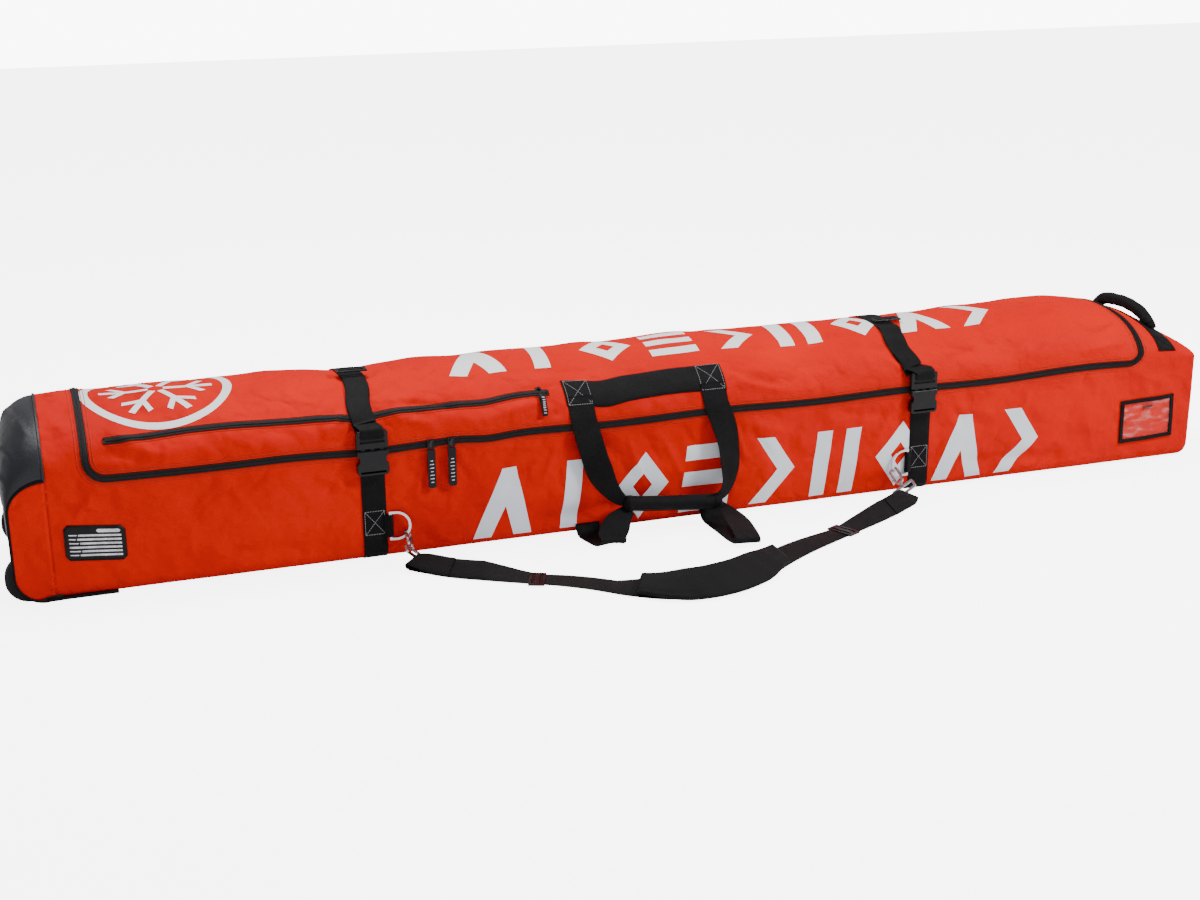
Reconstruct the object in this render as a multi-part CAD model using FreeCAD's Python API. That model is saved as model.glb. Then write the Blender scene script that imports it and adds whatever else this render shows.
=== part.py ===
"""Wheeled ski bag, in millimetres.

+X runs along the bag to the end with the grab handle, the wheels are at the -X end, the front
with the carry handles faces -Y, and +Z is up.  The origin is the middle of the underside.
"""
import FreeCAD, Part
import math
import os
from FreeCAD import Matrix, Placement, Rotation, Vector

# ---------------------------------------------------------------- driving dimensions
HALF_LENGTH = 1085.0
HALF_WIDTH = 158.0
ZIP_Z = 194.0
CROWN = 90.5
WALL = 4.0
WHEEL_END_CURVE = 55.0
WHEEL_END_STEP = 10.0
PANEL_CORNER = 45.0
FAR_CORNER = 20.0

LID_LEFT = -962.0
LID_RIGHT = 960.0
LID_CORNER = 30.0
LID_GAP = 0.4
GREY_SEAM_X = -1026.0
FAR_SLOPE = [(870.0, 90.5), (915.0, 85.0), (960.0, 75.0), (1005.0, 64.0), (1050.0, 50.0),
             (1075.0, 37.0), (HALF_LENGTH, 22.0)]

TAPE = 1.5
TAPE_WIDTH = 8.0
TAPE_BACK_END = 130.0
WEB = 1.6

STRAP_X = {"left": -515.0, "right": 493.0}
STRAP_WIDTH = 40.0
SLING_TOP_FRONT = 152.0
SLING_TOP_BACK = 188.0

WHEEL_X = -1062.0
WHEEL_Y = 135.0
WHEEL_R = 37.6
WHEEL_Z = WHEEL_R + 0.3
WHEEL_WIDTH = 26.0
AXLE_R = 4.0
AXLE_CLEARANCE = 0.05
HOUSING = {"x0": -HALF_LENGTH, "x1": -1014.0, "y0": 112.0, "y1": HALF_WIDTH - WALL, "z0": 2.0, "z1": 92.0}

RING_INSET = 27.0
RING_Z = 60.0
RING_BAR_Y = -HALF_WIDTH - 5.6
RING_PULL = 8.0
HOOK_REACH = 26.0
HOOK_REST = 2.8
HOOK_EYE_Z = 14.0

SLIDER_X = {"left": -417.0, "right": -382.0}
POCKET_LEFT = -930.0
POCKET_RIGHT = -205.0
POCKET_Z = 252.0

HANDLE_LEFT_X = -152.0
HANDLE_RIGHT_X = 90.0
HANDLE_WIDTH = 46.0
HANDLE_TOP_Z = 224.0
GRIP_Y = -190.0
GRIP_Z = 50.0
GRIP_R = 14.0
GRIP_HALF = 88.0

END_HANDLE_X = 1030.0
END_HANDLE_Z = 255.0
END_HANDLE_HALF = 85.0
END_HANDLE_RISE = 27.0
END_HANDLE_R = 9.0
END_HANDLE_LEAN = -8.0

SHOULDER_WIDTH = 38.0
SHOULDER_ROUTE = [(-462, -212), (-452, -250), (-424, -284), (-380, -310), (-322, -328),
                  (-262, -352), (-205, -395), (-158, -447), (-98, -482), (-25, -484),
                  (48, -450), (108, -402), (168, -362), (232, -328), (305, -292),
                  (372, -262), (416, -236), (446, -210)]


# ---------------------------------------------------------------- helpers
def save(name, shape):
    """Write one sub-part, after checking that it is one closed solid."""
    if shape.ShapeType != "Solid" and len(shape.Solids) == 1:
        shape = shape.Solids[0]
    state = "ok" if shape.isValid() and len(shape.Solids) == 1 else "CHECK"
    low = [round(v, 1) for v in (shape.BoundBox.XMin, shape.BoundBox.YMin, shape.BoundBox.ZMin)]
    high = [round(v, 1) for v in (shape.BoundBox.XMax, shape.BoundBox.YMax, shape.BoundBox.ZMax)]
    print(f"{name:26s} {state:5s} solids {len(shape.Solids)} volume {shape.Volume:12.0f} {low} {high}")
    shape.exportStep(f"parts/{name}.step")


def block(x0, x1, y0, y1, z0, z1):
    return Part.makeBox(x1 - x0, y1 - y0, z1 - z0, Vector(x0, y0, z0))


def rod(start, end, radius):
    axis = Vector(*end) - Vector(*start)
    return Part.makeCylinder(radius, axis.Length, Vector(*start), axis)


def rounded_wire(x0, x1, z0, z1, radii, y):
    """Rectangle in the XZ plane; radii are bottom left, bottom right, top right, top left."""
    corners = [(x0, z0, 180), (x1, z0, 270), (x1, z1, 0), (x0, z1, 90)]
    edges = []
    points = []
    for (x, z, start), radius in zip(corners, radii):
        if radius <= 0:
            points.append([Vector(x, y, z)])
            continue
        cx = x + radius if x == x0 else x - radius
        cz = z + radius if z == z0 else z - radius
        turn = [math.radians(start + a) for a in (0, 45, 90)]
        points.append([Vector(cx + radius * math.cos(a), y, cz + radius * math.sin(a)) for a in turn])
    for i, here in enumerate(points):
        if len(here) == 3:
            edges.append(Part.Arc(*here).toShape())
        following = points[(i + 1) % 4][0]
        edges.append(Part.LineSegment(here[-1], following).toShape())
    return Part.Wire(edges)


def rounded_plate(x0, x1, z0, z1, y0, y1, radii):
    face = Part.Face(rounded_wire(x0, x1, z0, z1, radii, y0))
    return face.extrude(Vector(0, y1 - y0, 0))


def crown_height(x):
    """Height of the top's middle line over the zip line."""
    bend = -HALF_LENGTH + WHEEL_END_CURVE
    if x < bend:
        share = min((bend - x) / WHEEL_END_CURVE, 1.0)
        return WHEEL_END_STEP + (CROWN - WHEEL_END_STEP) * math.sqrt(1 - share ** 2)
    if x <= FAR_SLOPE[0][0]:
        return CROWN
    for (xa, ha), (xb, hb) in zip(FAR_SLOPE, FAR_SLOPE[1:]):
        if x <= xb:
            return ha + (hb - ha) * (x - xa) / (xb - xa)
    return FAR_SLOPE[-1][1]


def half_ellipse(x, half_width, height, leg=0.0):
    """Section of the top at x, standing on straight legs where leg is not zero."""
    middle = Vector(x, 0, ZIP_Z)
    ellipse = Part.Ellipse(Vector(x, half_width, ZIP_Z), Vector(x, 0, ZIP_Z + height), middle)
    arc = Part.ArcOfEllipse(ellipse, 0, math.pi).toShape()
    near, far = [v.Point for v in arc.Vertexes]
    edges = [arc]
    if leg:
        low_near, low_far = near - Vector(0, 0, leg), far - Vector(0, 0, leg)
        edges.append(Part.LineSegment(far, low_far).toShape())
        edges.append(Part.LineSegment(low_far, low_near).toShape())
        edges.append(Part.LineSegment(low_near, near).toShape())
    else:
        edges.append(Part.LineSegment(far, near).toShape())
    return Part.Wire(edges)


def top_pieces(inset, leg=0.0):
    """The top over the zip line as wheel end, level middle and far end, drawn in by inset."""
    start, end = -HALF_LENGTH + max(inset, 0), HALF_LENGTH - max(inset, 0)
    level_start, level_end = -HALF_LENGTH + WHEEL_END_CURVE, FAR_SLOPE[0][0]
    curve = [level_start - WHEEL_END_CURVE * s for s in (0.97, 0.87, 0.71, 0.5, 0.26)]
    near_end = [start] + [x for x in curve if x > start + 1] + [level_start]
    far_end = [x for x, _ in FAR_SLOPE[:-1]] + [end]

    def section(x):
        return half_ellipse(x, HALF_WIDTH - inset, crown_height(x) - inset, leg)

    middle = Part.Face(section(level_start)).extrude(Vector(level_end - level_start, 0, 0))
    near, far = [Part.makeLoft([section(x) for x in xs], True, True) for xs in (near_end, far_end)]
    return near, middle, far


def top_shell(inner, outer):
    """Shell over the zip line between two insets, the outer one the smaller."""
    parts = [big.cut(small) for big, small in zip(top_pieces(outer), top_pieces(inner, leg=10))]
    return parts[0].fuse(parts[1]).fuse(parts[2])


def tub_solid(inset):
    """Everything under the zip line."""
    radii = (PANEL_CORNER - inset, FAR_CORNER - inset, 0, 0)
    return rounded_plate(-HALF_LENGTH + inset, HALF_LENGTH - inset, inset, ZIP_Z,
                         -HALF_WIDTH + inset, HALF_WIDTH - inset, radii)


def lid_outline(grow):
    """Prism across the bag whose outline is the zip line, moved outwards by grow."""
    radius = LID_CORNER + grow
    return rounded_plate(LID_LEFT - grow, LID_RIGHT + grow, ZIP_Z - grow, ZIP_Z + 200,
                         -HALF_WIDTH - 40, HALF_WIDTH + 40, (radius, radius, 0, 0))


def lid_band(x0, x1, inner, outer):
    """Strip over the lid from x0 to x1, between two distances from the lid's surface."""
    shell = []
    for distance in (outer, inner):
        face = Part.Face(half_ellipse(x0, HALF_WIDTH + distance, CROWN + distance))
        shell.append(face.extrude(Vector(x1 - x0, 0, 0)))
    return shell[0].cut(shell[1])


def lid_point(z, distance):
    """Front point of the lid's surface at height z, moved outwards by distance."""
    rise = (z - ZIP_Z) / (CROWN + distance)
    return -(HALF_WIDTH + distance) * math.sqrt(1 - rise ** 2)


def ribbon(line, thickness, x0, x1):
    """Webbing whose middle line runs through (y, z) points, as wide as from x0 to x1."""
    spline = Part.BSplineCurve()
    spline.interpolate([Vector(x0, y, z) for y, z in line])
    steps = 4 * len(line)
    first, last = spline.FirstParameter, spline.LastParameter
    sides = ([], [])
    for i in range(steps + 1):
        t = first + (last - first) * i / steps
        along = spline.tangent(t)[0]
        across = Vector(0, -along.z, along.y) * (thickness / 2)
        sides[0].append(spline.value(t) + across)
        sides[1].append(spline.value(t) - across)
    edges = []
    for side in sides:
        curve = Part.BSplineCurve()
        curve.interpolate(side)
        edges.append(curve.toShape())
    edges.append(Part.LineSegment(sides[0][0], sides[1][0]).toShape())
    edges.append(Part.LineSegment(sides[0][-1], sides[1][-1]).toShape())
    outline = Part.Wire(Part.__sortEdges__(edges))
    return Part.Face(outline).extrude(Vector(x1 - x0, 0, 0))


def pipe(path, start, direction, radius):
    ring = Part.Wire(Part.makeCircle(radius, start, direction))
    return path.makePipeShell([ring], True, False)


# ---------------------------------------------------------------- bag walls
def wall_panels():
    """Bottom, front and back panels, the two ends and the fixed strip of the top."""
    front = rounded_plate(-HALF_LENGTH, HALF_LENGTH, 0, ZIP_Z - LID_GAP, -HALF_WIDTH,
                          -HALF_WIDTH + WALL, (PANEL_CORNER, FAR_CORNER, 0, PANEL_CORNER))
    back = front.translated(Vector(0, 2 * HALF_WIDTH - WALL, 0))
    shell = top_shell(WALL, 0)
    inside = block(-HALF_LENGTH + WALL, HALF_LENGTH - WALL, -HALF_WIDTH + WALL, HALF_WIDTH - WALL, ZIP_Z - 90, ZIP_Z + 5)
    tub_shell = tub_solid(0).cut(tub_solid(WALL)).cut(inside)
    fixed_top = shell.cut(lid_outline(LID_GAP / 2))
    side_plates = front.fuse(back)

    wheel_end = tub_shell.common(block(-1200, -1040, -200, 200, -10, ZIP_Z))
    wheel_end = wheel_end.fuse(fixed_top.common(block(-1200, GREY_SEAM_X, -200, 200, 190, 300)))
    wheel_end = wheel_end.cut(side_plates)
    for side in (-1, 1):
        wheel_end = wheel_end.cut(housing_block(side))
    far_end = tub_shell.common(block(HALF_LENGTH - FAR_CORNER, 1200, -200, 200, -10, ZIP_Z))
    far_end = far_end.fuse(fixed_top.common(block(900, 1200, -200, 200, 190, 300)))
    far_end = far_end.cut(side_plates)
    top_strip = fixed_top.common(block(GREY_SEAM_X, -900, -200, 200, 190, 300))

    bottom = block(-930, HALF_LENGTH - FAR_CORNER, -HALF_WIDTH + WALL, HALF_WIDTH - WALL, 0, WALL)
    for x in STRAP_X.values():
        groove = block(x - 21, x + 21, -200, 200, -1, WEB + 0.2)
        bottom = bottom.cut(groove)
        front = front.cut(groove)
        back = back.cut(groove)
    save("bottom_panel", bottom)
    save("front_panel", front)
    save("back_panel", back)
    save("wheel_end_panel", wheel_end.removeSplitter())
    save("top_strip", top_strip)
    save("grab_end_panel", far_end.removeSplitter())
    save("lid_panel", shell.common(lid_outline(-LID_GAP / 2)).removeSplitter())


def zipper_tapes():
    """Tape along both sides of the main zip, round the lid's front and two ends."""
    skin = top_shell(0, -TAPE)
    wall = block(-1000, 1000, -HALF_WIDTH - TAPE, -HALF_WIDTH, ZIP_Z - 20, ZIP_Z)
    front_only = block(-1000, 1000, -200, TAPE_BACK_END, 150, 320)
    fixed_ring = lid_outline(TAPE_WIDTH).cut(lid_outline(LID_GAP / 2))
    lid_ring = lid_outline(-LID_GAP / 2).cut(lid_outline(-TAPE_WIDTH))
    save("zipper_lower_tape", skin.fuse(wall).common(fixed_ring).common(front_only).removeSplitter())
    save("zipper_upper_tape", skin.common(lid_ring).common(front_only))


def end_piping():
    """Cord sewn round the edge of the front and back panels at the wheel end."""
    radius = 1.8
    for name, y in (("front", -HALF_WIDTH - radius), ("back", HALF_WIDTH + radius)):
        r = PANEL_CORNER
        x = -HALF_LENGTH + radius
        top = ZIP_Z - radius
        low = radius + 0.2
        bend = r * (1 - math.sqrt(0.5))
        edges = [
            Part.LineSegment(Vector(GREY_SEAM_X, y, top), Vector(x + r, y, top)).toShape(),
            Part.Arc(Vector(x + r, y, top), Vector(x + bend, y, top - bend), Vector(x, y, top - r)).toShape(),
            Part.LineSegment(Vector(x, y, top - r), Vector(x, y, low + r)).toShape(),
            Part.Arc(Vector(x, y, low + r), Vector(x + bend, y, low + bend), Vector(x + r, y, low)).toShape(),
            Part.LineSegment(Vector(x + r, y, low), Vector(-935, y, low)).toShape(),
        ]
        save(f"end_piping_{name}", pipe(Part.Wire(edges), Vector(GREY_SEAM_X, y, top), Vector(-1, 0, 0), radius))


# ---------------------------------------------------------------- wheels
def housing_block(side):
    ya, yb = sorted((side * HOUSING["y0"], side * HOUSING["y1"]))
    return block(-1200, HOUSING["x1"], ya, yb, -10, HOUSING["z1"])


def wheels():
    for name, side in (("front", -1), ("back", 1)):
        ya, yb = sorted((side * HOUSING["y0"], side * HOUSING["y1"]))
        shell = block(HOUSING["x0"], HOUSING["x1"], ya, yb, HOUSING["z0"], HOUSING["z1"])
        outline = rounded_plate(HOUSING["x0"], HOUSING["x1"], HOUSING["z0"], HOUSING["z1"], ya, yb,
                                (PANEL_CORNER - 4, 0, 0, 0))
        shell = shell.common(outline)
        y_mid = side * WHEEL_Y
        well_half = WHEEL_WIDTH / 2 + 3
        well = rod((WHEEL_X, y_mid - well_half, WHEEL_Z), (WHEEL_X, y_mid + well_half, WHEEL_Z), WHEEL_R + 4)
        way_out = block(-1200, WHEEL_X, y_mid - well_half, y_mid + well_half, -20, WHEEL_Z + WHEEL_R + 4)
        way_down = block(-1200, WHEEL_X + WHEEL_R + 4, y_mid - well_half, y_mid + well_half, -20, WHEEL_Z)
        axle_ends = (WHEEL_X, ya + 1.5, WHEEL_Z), (WHEEL_X, yb - 1.5, WHEEL_Z)
        axle = rod(*axle_ends, AXLE_R)
        save(f"wheel_housing_{name}", shell.cut(well).cut(way_out).cut(way_down).cut(axle))
        save(f"axle_{name}", axle)

        half = WHEEL_WIDTH / 2
        hub_r = 24.0
        bore = rod((WHEEL_X, y_mid - 40, WHEEL_Z), (WHEEL_X, y_mid + 40, WHEEL_Z), AXLE_R + AXLE_CLEARANCE)
        hub = rod((WHEEL_X, y_mid - half + 1, WHEEL_Z), (WHEEL_X, y_mid + half - 1, WHEEL_Z), hub_r)
        for face in (-1, 1):
            rim = rod((WHEEL_X, y_mid + face * half, WHEEL_Z), (WHEEL_X, y_mid + face * (half - 4), WHEEL_Z), 19)
            boss = rod((WHEEL_X, y_mid + face * half, WHEEL_Z), (WHEEL_X, y_mid + face * (half - 5), WHEEL_Z), 8)
            hub = hub.cut(rim.cut(boss))
        save(f"wheel_hub_{name}", hub.cut(bore))
        tyre = rod((WHEEL_X, y_mid - half, WHEEL_Z), (WHEEL_X, y_mid + half, WHEEL_Z), WHEEL_R)
        rounded = [e for e in tyre.Edges if abs(e.Length - 2 * math.pi * WHEEL_R) < 0.1]
        tyre = tyre.makeFillet(5.0, rounded)
        core = rod((WHEEL_X, y_mid - 40, WHEEL_Z), (WHEEL_X, y_mid + 40, WHEEL_Z), hub_r)
        save(f"wheel_tyre_{name}", tyre.cut(core))


def skid_plate():
    """Moulded guard under the wheel end, cut away round the wheels."""
    plate = block(-1040, -930, -HALF_WIDTH + WALL, HALF_WIDTH - WALL, 0, WALL)
    for side in (-1, 1):
        plate = plate.cut(housing_block(side))
    save("skid_plate", plate)


# ---------------------------------------------------------------- zip sliders
def main_sliders():
    for name, x in SLIDER_X.items():
        y = -HALF_WIDTH - TAPE - 0.5
        plate = block(x - 6, x + 6, y - 3.2, y, ZIP_Z - 8, ZIP_Z + 7)
        plate = plate.makeFillet(1.2, [e for e in plate.Edges if e.Vertexes[0].Y < y - 3 and e.Vertexes[-1].Y < y - 3])
        bridge = block(x - 2, x + 2, y - 7.4, y - 3.2, ZIP_Z + 1, ZIP_Z + 6)
        bridge = bridge.cut(block(x - 3, x + 3, y - 5.9, y - 3.2, ZIP_Z + 1, ZIP_Z + 4.4))
        save(f"slider_{name}", plate.fuse(bridge))
        loop = rounded_plate(x - 5.5, x + 5.5, ZIP_Z - 14, ZIP_Z + 3.6, y - 5.4, y - 3.8, (2, 2, 2, 2))
        loop = loop.cut(block(x - 3.2, x + 3.2, -200, 0, ZIP_Z - 9, ZIP_Z + 1.9))
        tag = rounded_plate(x - 6.5, x + 6.5, ZIP_Z - 76, ZIP_Z - 10, y - 6.6, y - 3.6, (4, 4, 2, 2))
        save(f"pull_{name}", loop.fuse(tag).removeSplitter())


def pocket_zip():
    """Zip of the outer pocket, along the lid's front slope, with its slider and pull."""
    tape = lid_band(POCKET_LEFT, POCKET_RIGHT, 0.0, TAPE)
    save("pocket_zipper", tape.common(block(-1000, 0, -200, 0, POCKET_Z - 6, POCKET_Z + 6)))
    x = POCKET_RIGHT - 14
    slope = math.degrees(math.atan2(lid_point(POCKET_Z + 5, 0) - lid_point(POCKET_Z - 5, 0), 10))
    foot = Vector(x, lid_point(POCKET_Z, TAPE + 0.8), POCKET_Z)
    turn = Placement(foot, Rotation(Vector(1, 0, 0), -slope))
    plate = block(-6, 6, -3, 0, -7, 7)
    bridge = block(-2, 2, -7.0, -3, 1, 6.2).cut(block(-3, 3, -5.6, -3, 1, 4.7))
    slider = plate.fuse(bridge)
    slider.Placement = turn
    save("pocket_slider", slider)
    tag = rounded_plate(-4.5, 4.5, -34, 3.5, -5.0, -3.7, (3, 3, 1.5, 1.5))
    tag = tag.cut(block(-3, 3, -200, 0, -4, 1.9))
    tag.Placement = turn
    save("pocket_pull", tag)
    pivot = turn.multVec(Vector(0, -4.35, 2.75))
    print("pocket pull pivot", [round(v, 3) for v in pivot])


# ---------------------------------------------------------------- compression straps
def compression_straps():
    half = STRAP_WIDTH / 2
    for name, x in STRAP_X.items():
        y = HALF_WIDTH + WEB
        front_run = block(x - half, x + half, -y, -HALF_WIDTH, 0, SLING_TOP_FRONT)
        back_run = block(x - half, x + half, HALF_WIDTH, y, 0, SLING_TOP_BACK)
        under_run = block(x - half, x + half, -y, y, 0, WEB)
        save(f"strap_sling_{name}", front_run.fuse(under_run).fuse(back_run).removeSplitter())

        over = lid_band(x - half, x + half, TAPE + 0.3, TAPE + 0.3 + WEB)
        over = over.cut(block(x - 50, x + 50, -200, 0, 0, ZIP_Z + 3))
        over = over.cut(block(x - 50, x + 50, 0, 200, 0, ZIP_Z + 10))
        tail = lid_band(x - half, x + half, TAPE + 0.3 + WEB, TAPE + 0.3 + 2 * WEB)
        tail = tail.common(block(x - 50, x + 50, -200, -30, 236, 300))
        save(f"strap_over_{name}", over.fuse(tail).removeSplitter())
        strap_adjuster(name, x)
        buckle(name, x)


def strap_adjuster(name, x):
    """Three-bar slide that lies across the strap on the crown of the lid."""
    low = ZIP_Z + CROWN + TAPE + 0.3 + 2 * WEB + 0.4
    frame = block(x - 26, x + 26, -26, -2, low, low + 3.2)
    frame = frame.makeFillet(1.0, frame.Edges)
    for y in (-21.5, -11.5):
        frame = frame.cut(block(x - 21, x + 21, y, y + 5, low - 1, low + 5))
    save(f"strap_adjuster_{name}", frame)


def buckle(name, x):
    """Side-release buckle: the socket on the sling, the plug on the strap over the lid."""
    mouth = ZIP_Z + 1
    foot = mouth - 42
    inner = -HALF_WIDTH - TAPE - 0.9
    outer = inner - 12
    socket = rounded_plate(x - 26, x + 26, foot, mouth, outer, inner, (6, 6, 2, 2))
    socket = socket.makeFillet(1.5, [e for e in socket.Edges if e.BoundBox.YMax < outer + 0.01])
    socket = socket.cut(block(x - 21.5, x + 21.5, outer + 1.8, inner - 2.4, mouth - 28, mouth + 1))
    for side in (-1, 1):
        socket = socket.cut(rod((x + side * 31, outer - 1, mouth - 15), (x + side * 31, inner + 1, mouth - 15), 9.5))
    socket = socket.cut(block(x - 21, x + 21, outer - 1, inner + 1, foot + 4, foot + 7.5))
    save(f"buckle_socket_{name}", socket)

    base_low = mouth + 2.5
    base = rounded_plate(x - 26, x + 26, base_low, base_low + 31, outer + 3.0, inner - 1.6, (2, 2, 5, 5))
    base = base.makeFillet(1.2, [e for e in base.Edges if e.BoundBox.YMax < outer + 3.01])
    for z in (base_low + 10, base_low + 20):
        base = base.cut(block(x - 20.5, x + 20.5, -200, 0, z, z + 4.5))
    prong_out, prong_in = outer + 3.9, inner - 4.0
    tip = mouth - 23
    guide = rounded_plate(x - 3.5, x + 3.5, tip + 4, base_low + 1, prong_out, prong_in, (2, 2, 0, 0))
    plug = base.fuse(guide)
    for side in (-1, 1):
        xa, xb = sorted((x + side * 12, x + side * 19.5))
        arm = rounded_plate(xa, xb, tip, base_low + 1, prong_out, prong_in, (3, 3, 0, 0))
        plug = plug.fuse(arm)
    save(f"buckle_plug_{name}", plug.removeSplitter())


# ---------------------------------------------------------------- rings and snap hooks
def d_rings():
    """Rings that stand sideways from their sewn tabs, pulled outwards by the snap hooks."""
    for name, side in (("left", 1), ("right", -1)):
        bar_x = STRAP_X[name] + side * RING_INSET
        y0, y1 = RING_BAR_Y - 2, RING_BAR_Y + 2
        reach = bar_x + side * 32
        rings = []
        for grow in (0.0, -4.0):
            low, high = RING_Z - 25 - grow, RING_Z + 25 + grow
            start, end = bar_x - side * (4 + grow), reach + side * grow
            bow = 24.5 + grow
            radii = (0.5, bow, bow, 0.5) if side > 0 else (bow, 0.5, 0.5, bow)
            xa, xb = sorted((start, end))
            rings.append(rounded_plate(xa, xb, low, high, y0 + grow * 0.3, y1 - grow * 0.3, radii))
        ring = rings[0].cut(rings[1])
        ring.rotate(Vector(bar_x, RING_BAR_Y, 0), Vector(0, 0, 1), -side * RING_PULL)
        save(f"d_ring_{name}", ring)
        tab_ends = sorted((STRAP_X[name] + side * 20.3, bar_x + side * 2.0))
        tab = block(*tab_ends, y0 - 2.8, -HALF_WIDTH - 0.3, RING_Z - 19, RING_Z + 19)
        slot_ends = sorted((bar_x - side * 4.8, bar_x + side * 0.8))
        save(f"ring_tab_{name}", tab.cut(block(*slot_ends, y0 - 1.0, y1 + 1.0, 0, 200)))


def hook_frame(name):
    """Place of a snap hook: its top hangs in the D-ring and its eye lies near the floor."""
    side = 1 if name == "left" else -1
    pull = math.radians(RING_PULL)
    bow = Vector(STRAP_X[name] + side * (RING_INSET + HOOK_REACH * math.cos(pull)),
                 RING_BAR_Y - HOOK_REACH * math.sin(pull), RING_Z - 14)
    eye_x, eye_y = SHOULDER_ROUTE[0] if side > 0 else SHOULDER_ROUTE[-1]
    down = (Vector(eye_x, eye_y, HOOK_EYE_Z) - bow).normalize()
    across = Vector(side * 0.72, 0, 0.69)
    across = (across - down * across.dot(down)).normalize()
    up = down * -1
    bow = bow + up * HOOK_REST
    wide = across.cross(up)
    turn = Matrix(wide.x, across.x, up.x, bow.x, wide.y, across.y, up.y, bow.y,
                  wide.z, across.z, up.z, bow.z, 0, 0, 0, 1)
    return Placement(turn)


def snap_hooks():
    for name in STRAP_X:
        place = hook_frame(name)
        ring = rounded_plate(-9, 9, -30, 6, -2.0, 2.0, (8.9, 8.9, 8.9, 8.9))
        ring = ring.cut(rounded_plate(-5, 5, -26, 2, -3, 3, (4.9, 4.9, 4.9, 4.9)))
        ring = ring.cut(block(4, 12, -5, 5, -23, -4.4))
        neck = rod((0, 0, -36), (0, 0, -29), 3.6)
        eye = rounded_plate(-23, 23, -52, -35, -2, 2, (4, 4, 4, 4))
        eye = eye.cut(rounded_plate(-19.5, 19.5, -48, -39, -3, 3, (2, 2, 2, 2)))
        hook = ring.fuse(neck).fuse(eye)
        hook.Placement = place
        save(f"snap_hook_{name}", hook)
        gate = rounded_plate(5.1, 8.8, -22, -5.0, -2.0, 2.0, (1.2, 1.2, 1.2, 1.2))
        thumb = rod((8.5, 0, -17), (11.5, 0, -17), 1.6)
        gate = gate.fuse(thumb)
        gate.Placement = place
        save(f"hook_gate_{name}", gate)
        pivot = place.multVec(Vector(7, 0, -21))
        axis = place.Rotation.multVec(Vector(0, 1, 0))
        print(f"gate pivot {name}", [round(v, 4) for v in pivot], "axis", [round(v, 5) for v in axis])


# ---------------------------------------------------------------- handles
def carry_handle():
    band = lid_band(-176, 114, 0.3, 0.3 + WEB)
    save("carry_handle_band", band.common(block(-200, 200, -200, 0, 227, 262)))
    line = [(lid_point(HANDLE_TOP_Z, 5.5), HANDLE_TOP_Z), (-168, 200), (-177, 160), (-184, 110), (GRIP_Y + 1, GRIP_Z + 17)]
    drift = {"left": (HANDLE_LEFT_X, 0.24), "right": (HANDLE_RIGHT_X, -0.05)}
    for name, (x, shear) in drift.items():
        web = ribbon(line, 2.0, x - HANDLE_WIDTH / 2, x + HANDLE_WIDTH / 2)
        slant = Matrix()
        slant.A13 = -shear
        slant.A14 = shear * HANDLE_TOP_Z
        save(f"handle_web_{name}", web.transformGeometry(slant))
    grip = rod((-GRIP_HALF, GRIP_Y, GRIP_Z), (GRIP_HALF, GRIP_Y, GRIP_Z), GRIP_R)
    save("handle_grip", grip.makeFillet(3.0, [e for e in grip.Edges if len(e.Vertexes) == 1]))


def lower_handle():
    """Second carry handle, fallen onto the floor in front of the bag."""
    y = -HALF_WIDTH - 0.5
    left = [(y, 2), (-190, 2), (-225, 2.5), (-246, 8), (-243, 17), (-225, 24), (-208, 27)]
    right = [(y, 2), (-200, 2), (-260, 2), (-296, 2.8), (-317, 10), (-306, 20), (-270, 26), (-226, 28)]
    save("lower_web_left", ribbon(left, 2.0, -183, -137))
    save("lower_web_right", ribbon(right, 2.0, 62, 106))


def end_handle():
    """Grab handle across the far end: a sewn band and a padded arch that folds down."""
    skin = top_shell(0, -WEB)
    save("end_handle_band", skin.common(block(1000, 1040, -150, 150, ZIP_Z + 10, 300)))
    z = END_HANDLE_Z
    feet = [Vector(END_HANDLE_X, s * END_HANDLE_HALF, z) for s in (-1, 1)]
    shoulders = [Vector(END_HANDLE_X, s * (END_HANDLE_HALF - 26), z + END_HANDLE_RISE - 4) for s in (-1, 1)]
    knees = [Vector(END_HANDLE_X, s * (END_HANDLE_HALF - 7), z + 14) for s in (-1, 1)]
    top = Vector(END_HANDLE_X, 0, z + END_HANDLE_RISE)
    path = Part.BSplineCurve()
    path.interpolate([feet[0], knees[0], shoulders[0], top, shoulders[1], knees[1], feet[1]])
    start = path.tangent(path.FirstParameter)[0]
    arch = pipe(Part.Wire(path.toShape()), feet[0], start, END_HANDLE_R)
    arch.rotate(Vector(END_HANDLE_X, 0, z), Vector(0, 1, 0), END_HANDLE_LEAN)
    save("end_handle_grip", arch)


# ---------------------------------------------------------------- small parts on the front
def id_window():
    """Address window: a bound frame with a clear sheet, tilted like the stitching that holds it."""
    outline = rounded_plate(-58, 58, -38, 38, -HALF_WIDTH - 2.4, -HALF_WIDTH - 0.2, (3, 3, 3, 3))
    outline.rotate(Vector(0, 0, 0), Vector(0, 1, 0), -5)
    save("id_window", outline.translated(Vector(981, 0, 81)))


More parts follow.
